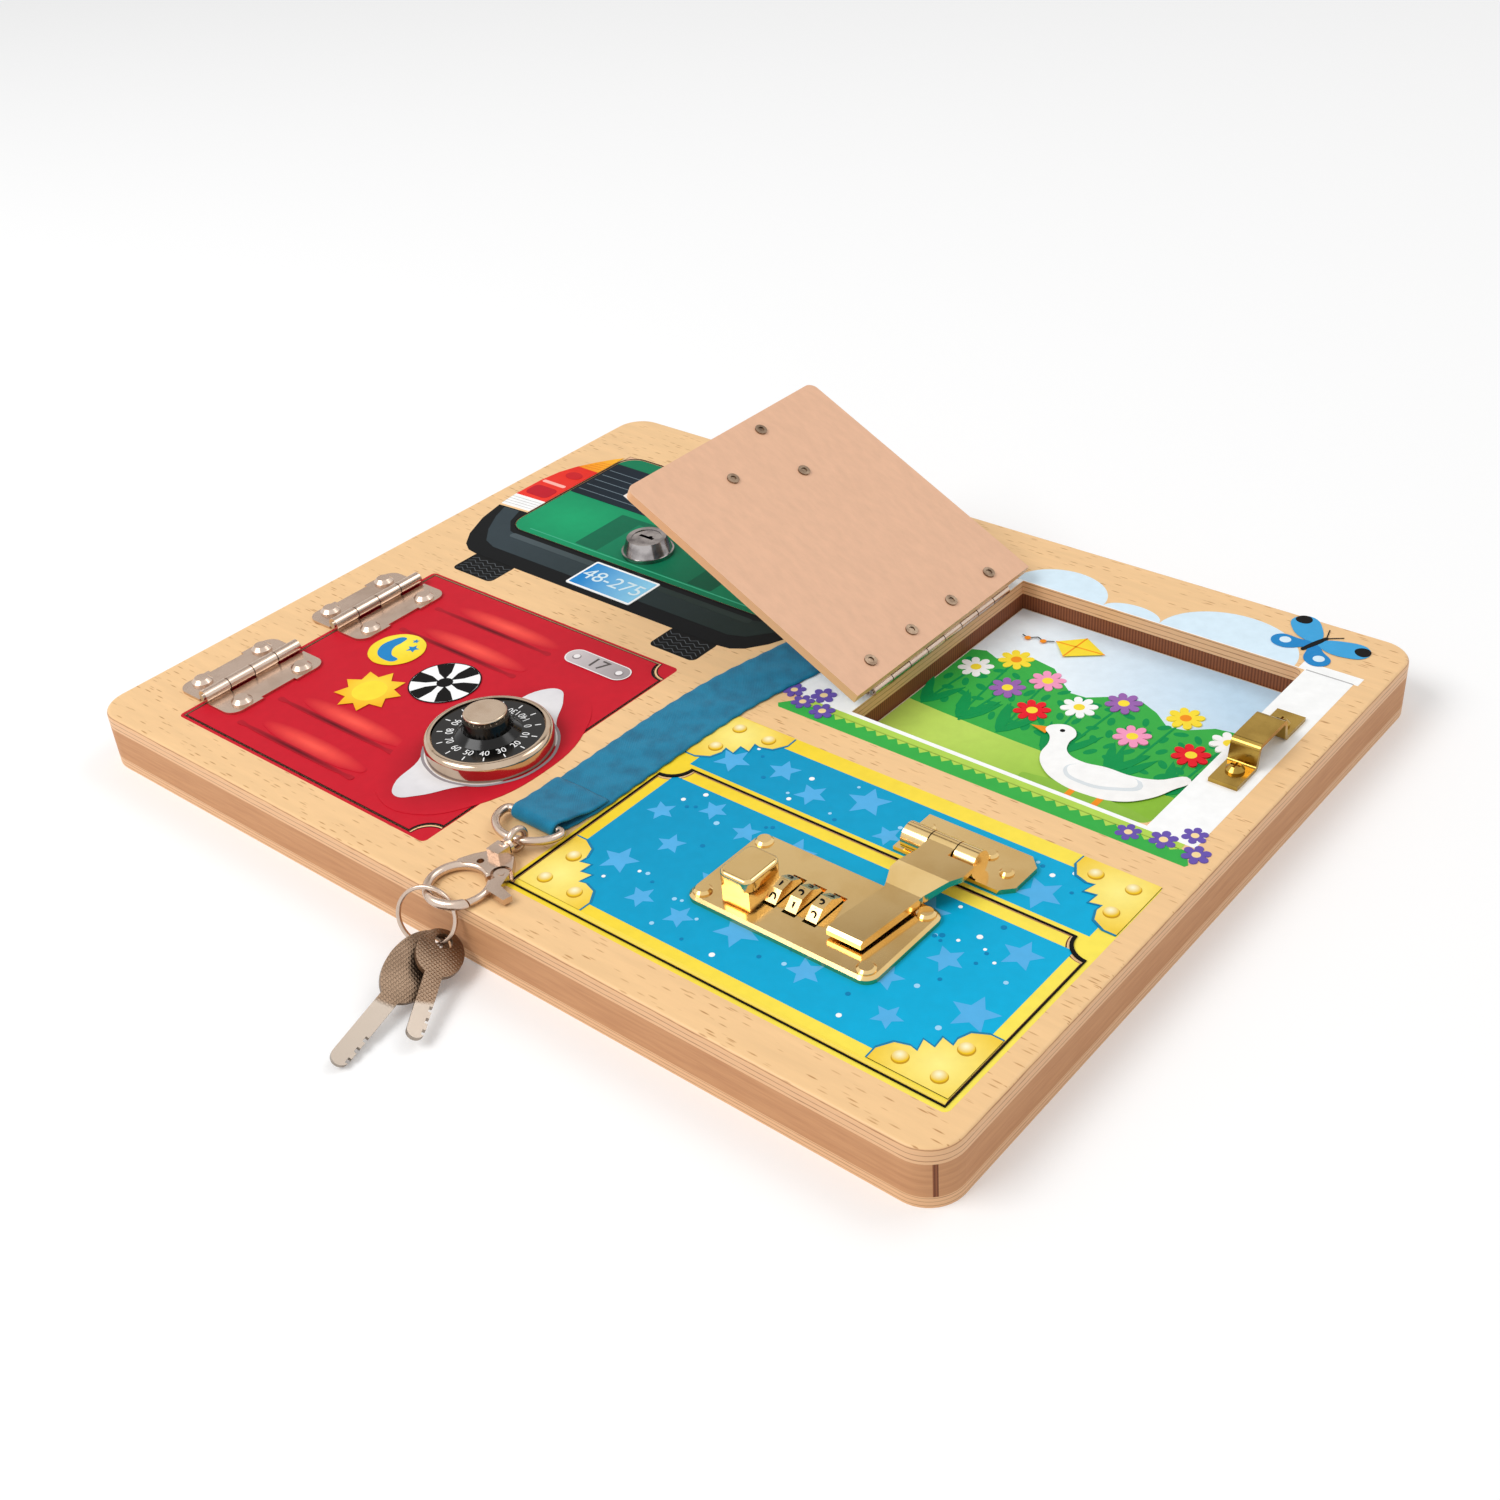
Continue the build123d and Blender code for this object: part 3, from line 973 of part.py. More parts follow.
with BuildPart() as hasp_bracket_rivets:
    domed_rivets(
        SURFACE.offset(HASP_PLATE_THICKNESS), HASP_RIVETS,
        SMALL_RIVET_HEAD, SMALL_RIVET_HEIGHT, SMALL_RIVET_SHANK, RIVET_DEPTH,
    )
finish(hasp_bracket_rivets, "hasp_bracket_rivets")

with BuildPart() as hasp_arm:
    with BuildSketch(Plane(origin=(ARM_SHOULDER[0], 0, TOP), x_dir=(0, 1, 0), z_dir=(1, 0, 0))):
        with BuildLine():
            Polyline(
                (HASP_Y - 1.3, ARM_HIGH[1]), (ARM_BEND[0], ARM_HIGH[1] - 0.4), (ARM_BEND[1], ARM_LOW[1]),
                (ARM_TIP_Y + 1.0, ARM_LOW[1] - 0.4), (ARM_TIP_Y, ARM_LOW[1] - 1.2),
                (ARM_TIP_Y, ARM_LOW[0]), (ARM_TIP_Y + 0.6, ARM_LOW[0] - 0.3), (ARM_BEND[1], ARM_LOW[0]),
                (ARM_BEND[0], ARM_HIGH[0] - 0.6), (ARM_EYE_BACK - 1.6, ARM_HIGH[0]),
                (HASP_Y - 1.3, ARM_HIGH[0]), (HASP_Y - 1.3, ARM_HIGH[1]),
            )
        make_face()
    extrude(amount=ARM_SHOULDER[1] - ARM_SHOULDER[0])
    with BuildSketch(SURFACE):
        with BuildLine():
            Polyline(
                (ARM_TONGUE[0], ARM_TIP_Y), (ARM_TONGUE[1], ARM_TIP_Y), (ARM_WAIST[1], ARM_WAIST_Y[1]),
                (ARM_SHOULDER[1], ARM_SHOULDER_Y[1]), (ARM_SHOULDER[1], ARM_EYE_BACK),
                (HASP_KNUCKLES[3], ARM_EYE_BACK), (HASP_KNUCKLES[3], HASP_Y - 0.3),
                (HASP_KNUCKLES[2], HASP_Y - 0.3), (HASP_KNUCKLES[2], ARM_EYE_BACK),
                (HASP_KNUCKLES[2], ARM_EYE_BACK - ARM_STEP), (ARM_SHOULDER[0], ARM_SHOULDER_Y[0]),
                (ARM_WAIST[0], ARM_WAIST_Y[0]), (ARM_TONGUE[0], ARM_TIP_Y),
            )
        make_face()
    extrude(amount=2 * ARM_HIGH[1], mode=Mode.INTERSECT)
    rod(HASP_RADIUS, HASP_KNUCKLES[2], HASP_KNUCKLES[3], HASP_AXIS)
    rod(HASP_PIN + RUNNING, HASP_KNUCKLES[2], HASP_KNUCKLES[3], HASP_AXIS, Mode.SUBTRACT)
finish(hasp_arm, "hasp_arm")

# --- lanyard -------------------------------------------------------------------------
def route_radii(points):
    """Radius of the arc at each inner corner of a route."""
    radii = []
    for before, corner, after in zip(points, points[1:], points[2:]):
        run_in = Vector(*corner) - Vector(*before)
        run_out = Vector(*after) - Vector(*corner)
        turn = math.radians(run_in.get_angle(run_out))
        shorter = min(run_in.length, run_out.length)
        radii.append(0.45 * shorter / math.tan(turn / 2) if turn > 1e-4 else 0.0)
    return radii


def route_line(points):
    """Draws a route of straight runs joined by tangent arcs in the line being made."""
    start = Vector(*points[0])
    for index, radius in enumerate(route_radii(points)):
        corner = Vector(*points[index + 1])
        if radius == 0.0:
            continue
        inward = (Vector(*points[index]) - corner).normalized()
        outward = (Vector(*points[index + 2]) - corner).normalized()
        turn = math.radians((-inward).get_angle(outward))
        cut = radius * math.tan(turn / 2)
        middle = corner + (inward + outward).normalized() * radius * (1 / math.cos(turn / 2) - 1)
        Line(start, corner + inward * cut)
        ThreePointArc(corner + inward * cut, middle, corner + outward * cut)
        start = corner + outward * cut
    Line(start, Vector(*points[-1]))


fold_radius = RING_WIRE + RUNNING
bar_z = RIBBON_THICKNESS + fold_radius
sewn_y = RING_BAR_Y + 14
with BuildPart() as lanyard_ribbon:
    with BuildSketch(SURFACE):
        with BuildLine():
            route_line(RIBBON_ROUTE)
        trace(line_width=RIBBON_WIDTH)
    extrude(amount=RIBBON_THICKNESS)
    fold_plane = Plane(origin=(RIBBON_ROUTE[0][0] - 10.0, 0, TOP), x_dir=(0, 1, 0), z_dir=(1, 0, 0))
    fold_back = RIBBON_ROUTE[0][1] + 6
    with BuildSketch(fold_plane):
        with Locations((RING_BAR_Y, bar_z)):
            Circle(fold_radius + RIBBON_THICKNESS)
        with BuildLine():
            Polyline(
                (RING_BAR_Y, 0),
                (fold_back, 0),
                (fold_back, 2 * RIBBON_THICKNESS),
                (sewn_y, 2 * RIBBON_THICKNESS),
                (RING_BAR_Y, bar_z + fold_radius + RIBBON_THICKNESS),
                (RING_BAR_Y, 0),
            )
        make_face()
        with BuildLine():
            Polyline(
                (RING_BAR_Y, RIBBON_THICKNESS),
                (sewn_y, RIBBON_THICKNESS),
                (RING_BAR_Y, bar_z + fold_radius),
                (RING_BAR_Y, RIBBON_THICKNESS),
            )
        make_face(mode=Mode.SUBTRACT)
        with Locations((RING_BAR_Y, bar_z)):
            Circle(fold_radius, mode=Mode.SUBTRACT)
    extrude(amount=20.0)
    holes(SURFACE.offset(RIBBON_THICKNESS), [LANYARD_SCREW], RIVET_SHANK, RIBBON_THICKNESS)
finish(lanyard_ribbon, "lanyard_ribbon")

with BuildPart() as lanyard_screw:
    screw_base = SURFACE.offset(RIBBON_THICKNESS)
    with BuildSketch(screw_base):
        with Locations(LANYARD_SCREW):
            Circle(WASHER_RADIUS)
    extrude(amount=WASHER_THICKNESS)
    cross_screws(screw_base.offset(WASHER_THICKNESS), [LANYARD_SCREW], RIVET_DEPTH + WASHER_THICKNESS)
finish(lanyard_screw, "lanyard_screw")

EYE_WIRE = 1.1
EYE_RADIUS = 3.4
RING_FRONT_Z = 2 * EYE_WIRE + RING_WIRE + 0.2
RING_TILT = math.asin((RING_FRONT_Z - bar_z) / RING_DROP)
RING_CORNER = RING_HALF_WIDTH - RING_BAR
RING_SIDE_START = (RING_HALF_WIDTH, RING_CORNER)
RING_SIDE_RADIUS = 9.0
side_middle = RING_HALF_WIDTH - RING_SIDE_RADIUS
front_drop = RING_DROP - RING_CORNER
RING_FRONT_RADIUS = (side_middle**2 + front_drop**2 - RING_SIDE_RADIUS**2) / (2 * (front_drop - RING_SIDE_RADIUS))
RING_FRONT_TURN = math.asin(side_middle / (RING_FRONT_RADIUS - RING_SIDE_RADIUS))
RING_SIDE_TURN = 90 - math.degrees(RING_FRONT_TURN)

with BuildPart() as lanyard_ring:
    ring_plane = Plane(
        origin=(RIBBON_ROUTE[0][0], RING_BAR_Y, TOP + bar_z),
        x_dir=(1, 0, 0),
        z_dir=(0, -math.sin(RING_TILT), -math.cos(RING_TILT)),
    )
    with BuildLine(ring_plane) as half_ring:
        Line((0, 0), (RING_BAR, 0))
        JernArc((RING_BAR, 0), (1, 0), RING_CORNER, 90)
        JernArc(RING_SIDE_START, (0, 1), RING_SIDE_RADIUS, RING_SIDE_TURN)
        JernArc(
            (RING_FRONT_RADIUS * math.sin(RING_FRONT_TURN), RING_DROP - RING_FRONT_RADIUS * (1 - math.cos(RING_FRONT_TURN))),
            (-math.cos(RING_FRONT_TURN), math.sin(RING_FRONT_TURN)),
            RING_FRONT_RADIUS,
            math.degrees(RING_FRONT_TURN),
        )
    with BuildSketch(Plane(origin=ring_plane.origin, z_dir=ring_plane.x_dir)) as wire_section:
        Circle(RING_WIRE)
    sweep(wire_section.sketch, path=half_ring.line)
    mirror(about=Plane(origin=ring_plane.origin, z_dir=ring_plane.x_dir))
finish(lanyard_ring, "lanyard_ring")

LOOP_X, LOOP_Y = HOOK_LOOP
HUB = (LOOP_X + 8.2, LOOP_Y + 10.3)
HUB_RADIUS = 2.5
HUB_PIN = 1.0


def gate_span(end_y, angle):
    """Draws the loop's open side, from its end's height to a ray at an angle in degrees."""
    reach = 1.6 * HOOK_LOOP_RADIUS
    turn = math.radians(angle)
    Polyline(
        (0, end_y), (reach, end_y), (reach, 4.0), (reach * math.cos(turn), reach * math.sin(turn)),
        (0, 0), (0, end_y),
    )


with BuildPart() as hook_body:
    hook_plane = Plane(origin=(LOOP_X, LOOP_Y, TOP))
    with BuildSketch(hook_plane) as body_outline:
        with BuildLine():
            Polyline((-9.6, 6.0), (10.6, 8.0), (10.6, 12.8), (5.2, 19.0), (-1.6, 19.0), (-6.4, 12.6), (-9.6, 6.0))
        make_face()
        fillet(body_outline.vertices(), HOOK_CORNER)
    extrude(amount=HOOK_THICKNESS)
    fillet(hook_body.faces().sort_by(Axis.Z)[-1].edges(), HOOK_ROUND)

with BuildPart() as snap_hook:
    add(hook_body.part)
    rod(HOOK_LOOP_RADIUS - HOOK_WIRE / 2, 0, HOOK_THICKNESS, hook_plane, Mode.SUBTRACT)
    with Locations((LOOP_X, LOOP_Y, TOP + HOOK_WIRE)):
        Torus(HOOK_LOOP_RADIUS, HOOK_WIRE)
    with BuildSketch(hook_plane):
        with BuildLine():
            gate_span(HOOK_END_Y, 50)
        make_face()
    extrude(amount=HOOK_THICKNESS, mode=Mode.SUBTRACT)
    with BuildSketch(hook_plane.offset(0.6)):
        with Locations((HUB[0] - LOOP_X, HUB[1] - LOOP_Y)):
            Circle(HUB_RADIUS + CLEAR + 0.5)
            with Locations((4.0, -2.0)):
                Rectangle(9.0, 8.0)
    extrude(amount=HOOK_THICKNESS, mode=Mode.SUBTRACT)
    hub_plane = Plane(origin=(*HUB, TOP))
    rod(HUB_PIN, 0, HOOK_THICKNESS, hub_plane)
    rod(1.2, 0, HOOK_THICKNESS, Plane(origin=(LOOP_X - 1.5, LOOP_Y + 10.8, TOP)), Mode.SUBTRACT)
    eye_x, eye_y = HOOK_EYE
    eye_plane = Plane(origin=(eye_x, 0, TOP + EYE_RADIUS + EYE_WIRE), x_dir=(1, 0, 0), z_dir=(0, 1, 0))
    rod(1.9, LOOP_Y + 17.5, eye_y - EYE_RADIUS, eye_plane)
    rod(2.6, LOOP_Y + 19.2, LOOP_Y + 20.4, eye_plane)
    box(eye_x - 3.0, eye_x + 2.2, LOOP_Y + 14, LOOP_Y + 19.0, TOP, TOP + EYE_RADIUS + EYE_WIRE + 1.5)
    with Locations(Location((eye_x, eye_y, TOP + EYE_RADIUS + EYE_WIRE), (0, 90, 0))):
        Torus(EYE_RADIUS, EYE_WIRE)
finish(snap_hook, "snap_hook")

with BuildPart() as hook_trigger:
    with Locations((LOOP_X, LOOP_Y, TOP + GATE_MIDDLE)):
        Torus(HOOK_LOOP_RADIUS, GATE_WIRE)
    with BuildSketch(hook_plane):
        with BuildLine():
            gate_span(GATE_END_Y, 40)
        make_face()
    extrude(amount=HOOK_THICKNESS, mode=Mode.INTERSECT)
    with BuildSketch(hook_plane.offset(LEVER_BOTTOM)):
        with Locations((HUB[0] - LOOP_X, HUB[1] - LOOP_Y)):
            Circle(HUB_RADIUS)
        with BuildLine():
            Polyline((7.6, 6.4), (9.2, 11.6), (10.7, 10.3), (12.4, 6.0), (18.6, 4.6), (17.9, 1.6), (10.0, 2.2), (7.6, 6.4))
        make_face()
        with Locations((HUB[0] - LOOP_X, HUB[1] - LOOP_Y)):
            Circle(HUB_PIN + RUNNING, mode=Mode.SUBTRACT)
    extrude(amount=LEVER_THICKNESS)
finish(hook_trigger, "hook_trigger")

# --- split ring and keys -------------------------------------------------------------
RING_TURN = math.radians(SPLIT_TURN)
RING_LEAN = math.radians(SPLIT_LEAN)
RING_SPOT = math.radians(SPLIT_SPOT)
RING_SIDE = Vector(math.cos(RING_TURN), math.sin(RING_TURN), 0)
RING_OUT = Vector(math.sin(RING_TURN), -math.cos(RING_TURN), 0)
RING_UP = Vector(0, 0, 1) * math.cos(RING_LEAN) - RING_OUT * math.sin(RING_LEAN)
RING_TOP = Vector(
    LOOP_X - HOOK_LOOP_RADIUS * math.sin(RING_SPOT),
    LOOP_Y - HOOK_LOOP_RADIUS * math.cos(RING_SPOT),
    TOP + HOOK_THICKNESS + SPLIT_RADIAL + SPLIT_LIFT,
)
RING_CENTRE = RING_TOP - RING_UP * SPLIT_RADIUS

with BuildPart() as split_ring:
    section_plane = Plane(origin=RING_CENTRE, x_dir=RING_UP, z_dir=RING_SIDE)
    with BuildSketch(section_plane):
        with Locations((SPLIT_RADIUS, 0)):
            RectangleRounded(2 * SPLIT_RADIAL, 2 * SPLIT_AXIAL, 0.5)
    revolve(axis=Axis(RING_CENTRE, section_plane.y_dir), revolution_arc=360)
finish(split_ring, "split_ring")

KEYS = (
    (33.6, (0.484, 0.152, 0.862), -57.9),
    (11.0, (0.571, 0.017, 0.821), -78.6),
)
KEY_SIZES = (
    (18.0, 15.0, 5.5, 41.0),
    (28.0, 17.0, 6.0, 54.0),
)


def key_plane(angle, normal, heading):
    """Plane of a key that hangs on the split ring at an angle from the ring's bottom."""
    turn = math.radians(angle)
    hole = RING_CENTRE + (RING_SIDE * math.sin(turn) - RING_UP * math.cos(turn)) * SPLIT_RADIUS
    way = math.radians(heading)
    dip = -(normal[0] * math.cos(way) + normal[1] * math.sin(way)) / normal[2]
    return Plane(origin=hole, x_dir=(math.cos(way), math.sin(way), dip), z_dir=normal)


with BuildPart() as keys:
    for key, (bow_length, bow_width, blade, length) in zip(KEYS, KEY_SIZES):
        with BuildSketch(key_plane(*key).offset(-KEY_THICKNESS / 2)):
            with Locations((bow_length / 2 - KEY_HOLE_INSET, 0)):
                Ellipse(bow_length / 2, bow_width / 2)
            blade_start = bow_length - KEY_HOLE_INSET - 2.0
            blade_end = length - KEY_HOLE_INSET - blade / 2
            with Locations(((blade_start + blade_end) / 2, 0)):
                Rectangle(blade_end - blade_start, blade)
            with Locations((blade_end, 0)):
                Circle(blade / 2)
            with Locations(*[(blade_end - TOOTH_PITCH * tooth, blade / 2) for tooth in range(TOOTH_COUNT)]):
                Rectangle(TOOTH_LENGTH, 2 * TOOTH_DEPTH, mode=Mode.SUBTRACT)
            Circle(KEY_HOLE, mode=Mode.SUBTRACT)
        extrude(amount=KEY_THICKNESS)
finish(keys, "keys")

print("ribbon radii", [round(radius, 1) for radius in route_radii(RIBBON_ROUTE)])
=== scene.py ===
"""Looks of the wooden busy board: printed pictures, beech plywood, plated hardware and the ribbon lanyard."""

import logging
import math
import random
from dataclasses import dataclass
from enum import Enum

import bmesh
import bpy
from mathutils import Matrix, Vector


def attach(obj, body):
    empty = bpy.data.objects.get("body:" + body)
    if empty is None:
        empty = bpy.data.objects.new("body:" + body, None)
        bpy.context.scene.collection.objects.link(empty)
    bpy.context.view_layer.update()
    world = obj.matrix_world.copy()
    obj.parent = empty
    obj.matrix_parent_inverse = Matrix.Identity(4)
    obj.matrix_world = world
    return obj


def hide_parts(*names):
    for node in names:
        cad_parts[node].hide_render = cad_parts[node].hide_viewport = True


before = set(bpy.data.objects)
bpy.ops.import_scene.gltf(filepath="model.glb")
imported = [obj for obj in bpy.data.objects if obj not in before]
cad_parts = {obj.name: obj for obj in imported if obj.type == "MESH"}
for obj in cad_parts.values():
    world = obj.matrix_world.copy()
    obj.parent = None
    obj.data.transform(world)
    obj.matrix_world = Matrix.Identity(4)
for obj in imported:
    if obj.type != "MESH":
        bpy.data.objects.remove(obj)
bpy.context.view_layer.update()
LOG = logging.getLogger("busy_board")

MM = 0.001
BOARD_BODY = "board_body"
# Heights in millimetres: the board's face, the picture boards in the wells, and what is pasted on either.
TOP = 21.5
STICKER_TOP = TOP + 0.32
PICTURE_TOP = 10.0
CUTOUT_TOP = PICTURE_TOP + 0.6
# Each layer of ink stands this much over the last, and ink on the board ends this far from an opening.
INK_STEP = 0.02
INK_CLEARANCE = 0.05
MERGE_DISTANCE = 1e-7
# Capital height of the built-in font, as a share of its size.
FIGURE_SHARE = 0.72

Point = tuple[float, float]
Place = tuple[float, float, float]
Tree = bpy.types.NodeTree
Node = bpy.types.Node
Socket = bpy.types.NodeSocket


# --- nodes and colours -------------------------------------------------------------------
def linear(colour: str) -> tuple[float, float, float, float]:
    """Turns an sRGB hex colour into linear light.

    Args:
        colour: Six hex digits, with or without a leading hash.

    Returns:
        Red, green, blue and an alpha of one.
    """
    digits = colour.lstrip("#")
    parts = [int(digits[place : place + 2], 16) / 255 for place in (0, 2, 4)]
    light = [part / 12.92 if part <= 0.04045 else ((part + 0.055) / 1.055) ** 2.4 for part in parts]
    return (light[0], light[1], light[2], 1.0)


def add_node(tree: Tree, kind: str, values: dict | None = None, links: dict | None = None) -> Node:
    """Adds a node with its settings and its incoming links.

    Args:
        tree: The node tree that gets the node.
        kind: The node's type after "ShaderNode".
        values: Settings by attribute name, by input name or number, or "stops" for a ramp's
            places and hex colours.
        links: Output sockets, or nodes for their first output, by the name or number of the input
            that each feeds.

    Returns:
        The new node.
    """
    made = tree.nodes.new("ShaderNode" + kind)
    for key, value in (values or {}).items():
        if key == "stops":
            ramp = made.color_ramp
            while len(ramp.elements) < len(value):
                ramp.elements.new(0.5)
            for element, (place, colour) in zip(ramp.elements, value):
                element.position = place
                element.color = linear(colour)
        elif isinstance(key, str) and key in made.bl_rna.properties:
            setattr(made, key, value)
        else:
            made.inputs[key].default_value = value
    for key, source in (links or {}).items():
        socket = source.outputs[0] if isinstance(source, Node) else source
        tree.links.new(socket, made.inputs[key])
    return made


@dataclass(frozen=True)
class Finish:
    """A surface finish that is made into a material once and then shared."""

    name: str

    def material(self) -> bpy.types.Material:
        """Makes the finish's material on first use.

        Returns:
            The material.
        """
        made = bpy.data.materials.get(self.name)
        if made:
            return made
        made = bpy.data.materials.new(self.name)
        made.use_nodes = True
        tree = made.node_tree
        tree.nodes.clear()
        coordinates = add_node(tree, "TexCoord")
        millimetres = add_node(
            tree, "VectorMath", {"operation": "SCALE", "Scale": 1 / MM}, {0: coordinates.outputs["Object"]}
        )
        shader = self.shade(tree, millimetres.outputs[0], coordinates)
        add_node(tree, "OutputMaterial", links={"Surface": shader})
        return made

    def shade(self, tree: Tree, place: Socket, coordinates: Node) -> Node:
        """Builds the finish's nodes.

        Args:
            tree: The material's node tree.
            place: The point on the surface, in millimetres.
            coordinates: The texture coordinate node, for its other outputs.

        Returns:
            The shader's node.
        """
        raise NotImplementedError


@dataclass(frozen=True)
class BeechPlywood(Finish):
    """Sanded and clear-lacquered beech plywood: short dark flecks on the face, stripes of ply on the edge."""

    face: str
    fleck: str
    ply_pale: str
    ply_dark: str
    ply_low: float
    ply_thickness: float
    fleck_pitch: Place = (9.0, 1.2, 1.2)
    flecks: float = 1.0
    paint: str = ""
    paint_y: float = 0.0

    def shade(self, tree: Tree, place: Socket, coordinates: Node) -> Node:
        """Builds the plywood's nodes. Args and Returns are as in Finish.shade."""
        # Beech rays show as short dark flecks that lie along the grain.
        stretched = add_node(
            tree, "Mapping", {"Scale": tuple(1 / pitch for pitch in self.fleck_pitch)}, {0: place}
        )
        cells = add_node(tree, "TexVoronoi", {"Scale": 1.0, "Randomness": 1.0}, {0: stretched})
        speck = add_node(
            tree,
            "MapRange",
            {1: 0.12, 2: 0.25, 3: self.flecks, 4: 0.0},
            {0: cells.outputs["Distance"]},
        )
        patches = add_node(tree, "TexNoise", {"Scale": 0.07, "Detail": 3.0}, {0: place})
        chosen = add_node(tree, "MapRange", {1: 0.40, 2: 0.60, 3: 0.45, 4: 1.0}, {0: patches})
        mask = add_node(tree, "Math", {"operation": "MULTIPLY"}, {0: speck, 1: chosen})
        growth = add_node(
            tree, "TexNoise", {"Scale": 0.35, "Detail": 5.0, "Roughness": 0.62}, {0: stretched}
        )
        streak = add_node(tree, "MapRange", {1: 0.25, 2: 0.75, 3: 0.93, 4: 1.05}, {0: growth})
        toned = add_node(
            tree,
            "VectorMath",
            {"operation": "SCALE", 0: linear(self.face)[:3]},
            {"Scale": streak},
        )
        flat = add_node(tree, "Mix", {"data_type": "RGBA", 7: linear(self.fleck)}, {0: mask, 6: toned})
        # The edge shows three dark glue lines and the fine fibres between them.
        split = add_node(tree, "SeparateXYZ", links={0: place})
        depth = add_node(
            tree,
            "MapRange",
            {1: self.ply_low, 2: self.ply_low + self.ply_thickness, 3: 0.0, 4: 1.0},
            {0: split.outputs["Z"]},
        )
        fibre_place = add_node(tree, "Mapping", {"Scale": (0.12, 0.12, 2.2)}, {0: place})
        fibres = add_node(tree, "TexNoise", {"Scale": 1.0, "Detail": 4.0}, {0: fibre_place})
        wavy = add_node(tree, "Math", {"operation": "MULTIPLY_ADD", 1: 0.10, 2: -0.05}, {0: fibres})
        level = add_node(tree, "Math", {"operation": "ADD"}, {0: depth, 1: wavy})
        plies = add_node(
            tree,
            "ValToRGB",
            {
                "stops": (
                    (0.0, self.ply_pale), (0.17, self.ply_pale), (0.21, self.ply_dark),
                    (0.25, self.ply_pale), (0.52, self.ply_pale), (0.56, self.ply_dark),
                    (0.60, self.ply_pale), (0.84, self.ply_pale), (0.88, self.ply_dark),
                    (0.92, self.ply_pale),
                )
            },
            {0: level},
        )
        # Level faces show the flecked face, and upright ones the plies.
        normal = add_node(tree, "SeparateXYZ", links={0: coordinates.outputs["Normal"]})
        upright = add_node(tree, "Math", {"operation": "ABSOLUTE"}, {0: normal.outputs["Z"]})
        facing = add_node(tree, "MapRange", {1: 0.55, 2: 0.8, 3: 0.0, 4: 1.0}, {0: upright})
        colour = add_node(
            tree,
            "Mix",
            {"data_type": "RGBA"},
            {0: facing, 6: plies, 7: flat.outputs[2]},
        ).outputs[2]
        if self.paint:
            front = add_node(
                tree, "Math", {"operation": "LESS_THAN", 1: self.paint_y}, {0: split.outputs["Y"]}
            )
            above = add_node(tree, "Math", {"operation": "GREATER_THAN", 1: 0.12}, {0: normal.outputs["Z"]})
            painted = add_node(tree, "Math", {"operation": "MULTIPLY"}, {0: front, 1: above})
            colour = add_node(
                tree,
                "Mix",
                {"data_type": "RGBA", 7: linear(self.paint)},
                {0: painted, 6: colour},
            ).outputs[2]
        bump = add_node(tree, "Bump", {"Strength": 0.10, "Distance": 0.00008}, {"Height": growth})
        return add_node(
            tree,
            "BsdfPrincipled",
            {"Roughness": 0.42, "IOR": 1.5, "Specular IOR Level": 0.35},
            {"Base Color": colour, "Normal": bump},
        )


@dataclass(frozen=True)
class SawnHardwood(Finish):
    """Solid reddish hardwood strips as they leave the saw: long fibres outside, saw ribs in the wells, whose
    walls are coloured darker as painted shade.
    """

    pale: str
    dark: str
    well: str
    rib: str = "6e3c22"
    inside: Point = (181.0, 142.0)

    def shade(self, tree: Tree, place: Socket, coordinates: Node) -> Node:
        """Builds the sawn wood's nodes. Args and Returns are as in Finish.shade."""
        fibre_place = add_node(tree, "Mapping", {"Scale": (0.05, 0.05, 0.8)}, {0: place})
        fibres = add_node(
            tree, "TexNoise", {"Scale": 1.0, "Detail": 6.0, "Roughness": 0.65}, {0: fibre_place}
        )
        colour = add_node(tree, "ValToRGB", {"stops": ((0.32, self.dark), (0.62, self.pale))}, {0: fibres})
        # Saw ribs stand upright on the walls, about 1.2 mm apart.
        upright_place = add_node(tree, "Mapping", {"Scale": (1.0, 1.0, 0.0)}, {0: place})
        ribs = add_node(
            tree,
            "TexWave",
            {"wave_type": "BANDS", "bands_direction": "DIAGONAL", "Scale": 0.52, "Distortion": 0.4},
            {0: upright_place},
        )
        split = add_node(tree, "SeparateXYZ", links={0: place})
        reach_x = add_node(tree, "Math", {"operation": "ABSOLUTE"}, {0: split.outputs["X"]})
        reach_y = add_node(tree, "Math", {"operation": "ABSOLUTE"}, {0: split.outputs["Y"]})
        inside_x = add_node(tree, "Math", {"operation": "LESS_THAN", 1: self.inside[0]}, {0: reach_x})
        inside_y = add_node(tree, "Math", {"operation": "LESS_THAN", 1: self.inside[1]}, {0: reach_y})
        inside = add_node(tree, "Math", {"operation": "MULTIPLY"}, {0: inside_x, 1: inside_y})
        # The walls inside the board take the darker well colour, which is painted shade of the recesses; the
        # saw ribs are laid on it.
        shaded_ribbed_wall = add_node(tree, "ValToRGB", {"stops": ((0.15, self.rib), (0.8, self.well))}, {0: ribs})
        mixed = add_node(tree, "Mix", {"data_type": "RGBA"}, {0: inside, 6: colour, 7: shaded_ribbed_wall})
        bump = add_node(tree, "Bump", {"Strength": 0.25, "Distance": 0.0002}, {"Height": fibres})
        return add_node(
            tree,
            "BsdfPrincipled",
            {"Roughness": 0.62, "IOR": 1.5, "Specular IOR Level": 0.3},
            {"Base Color": mixed.outputs[2], "Normal": bump},
        )


class Spread(Enum):
    """How an ink passes from its first colour to its second."""

    PLAIN = 0
    LINEAR = 1
    RADIAL = 2


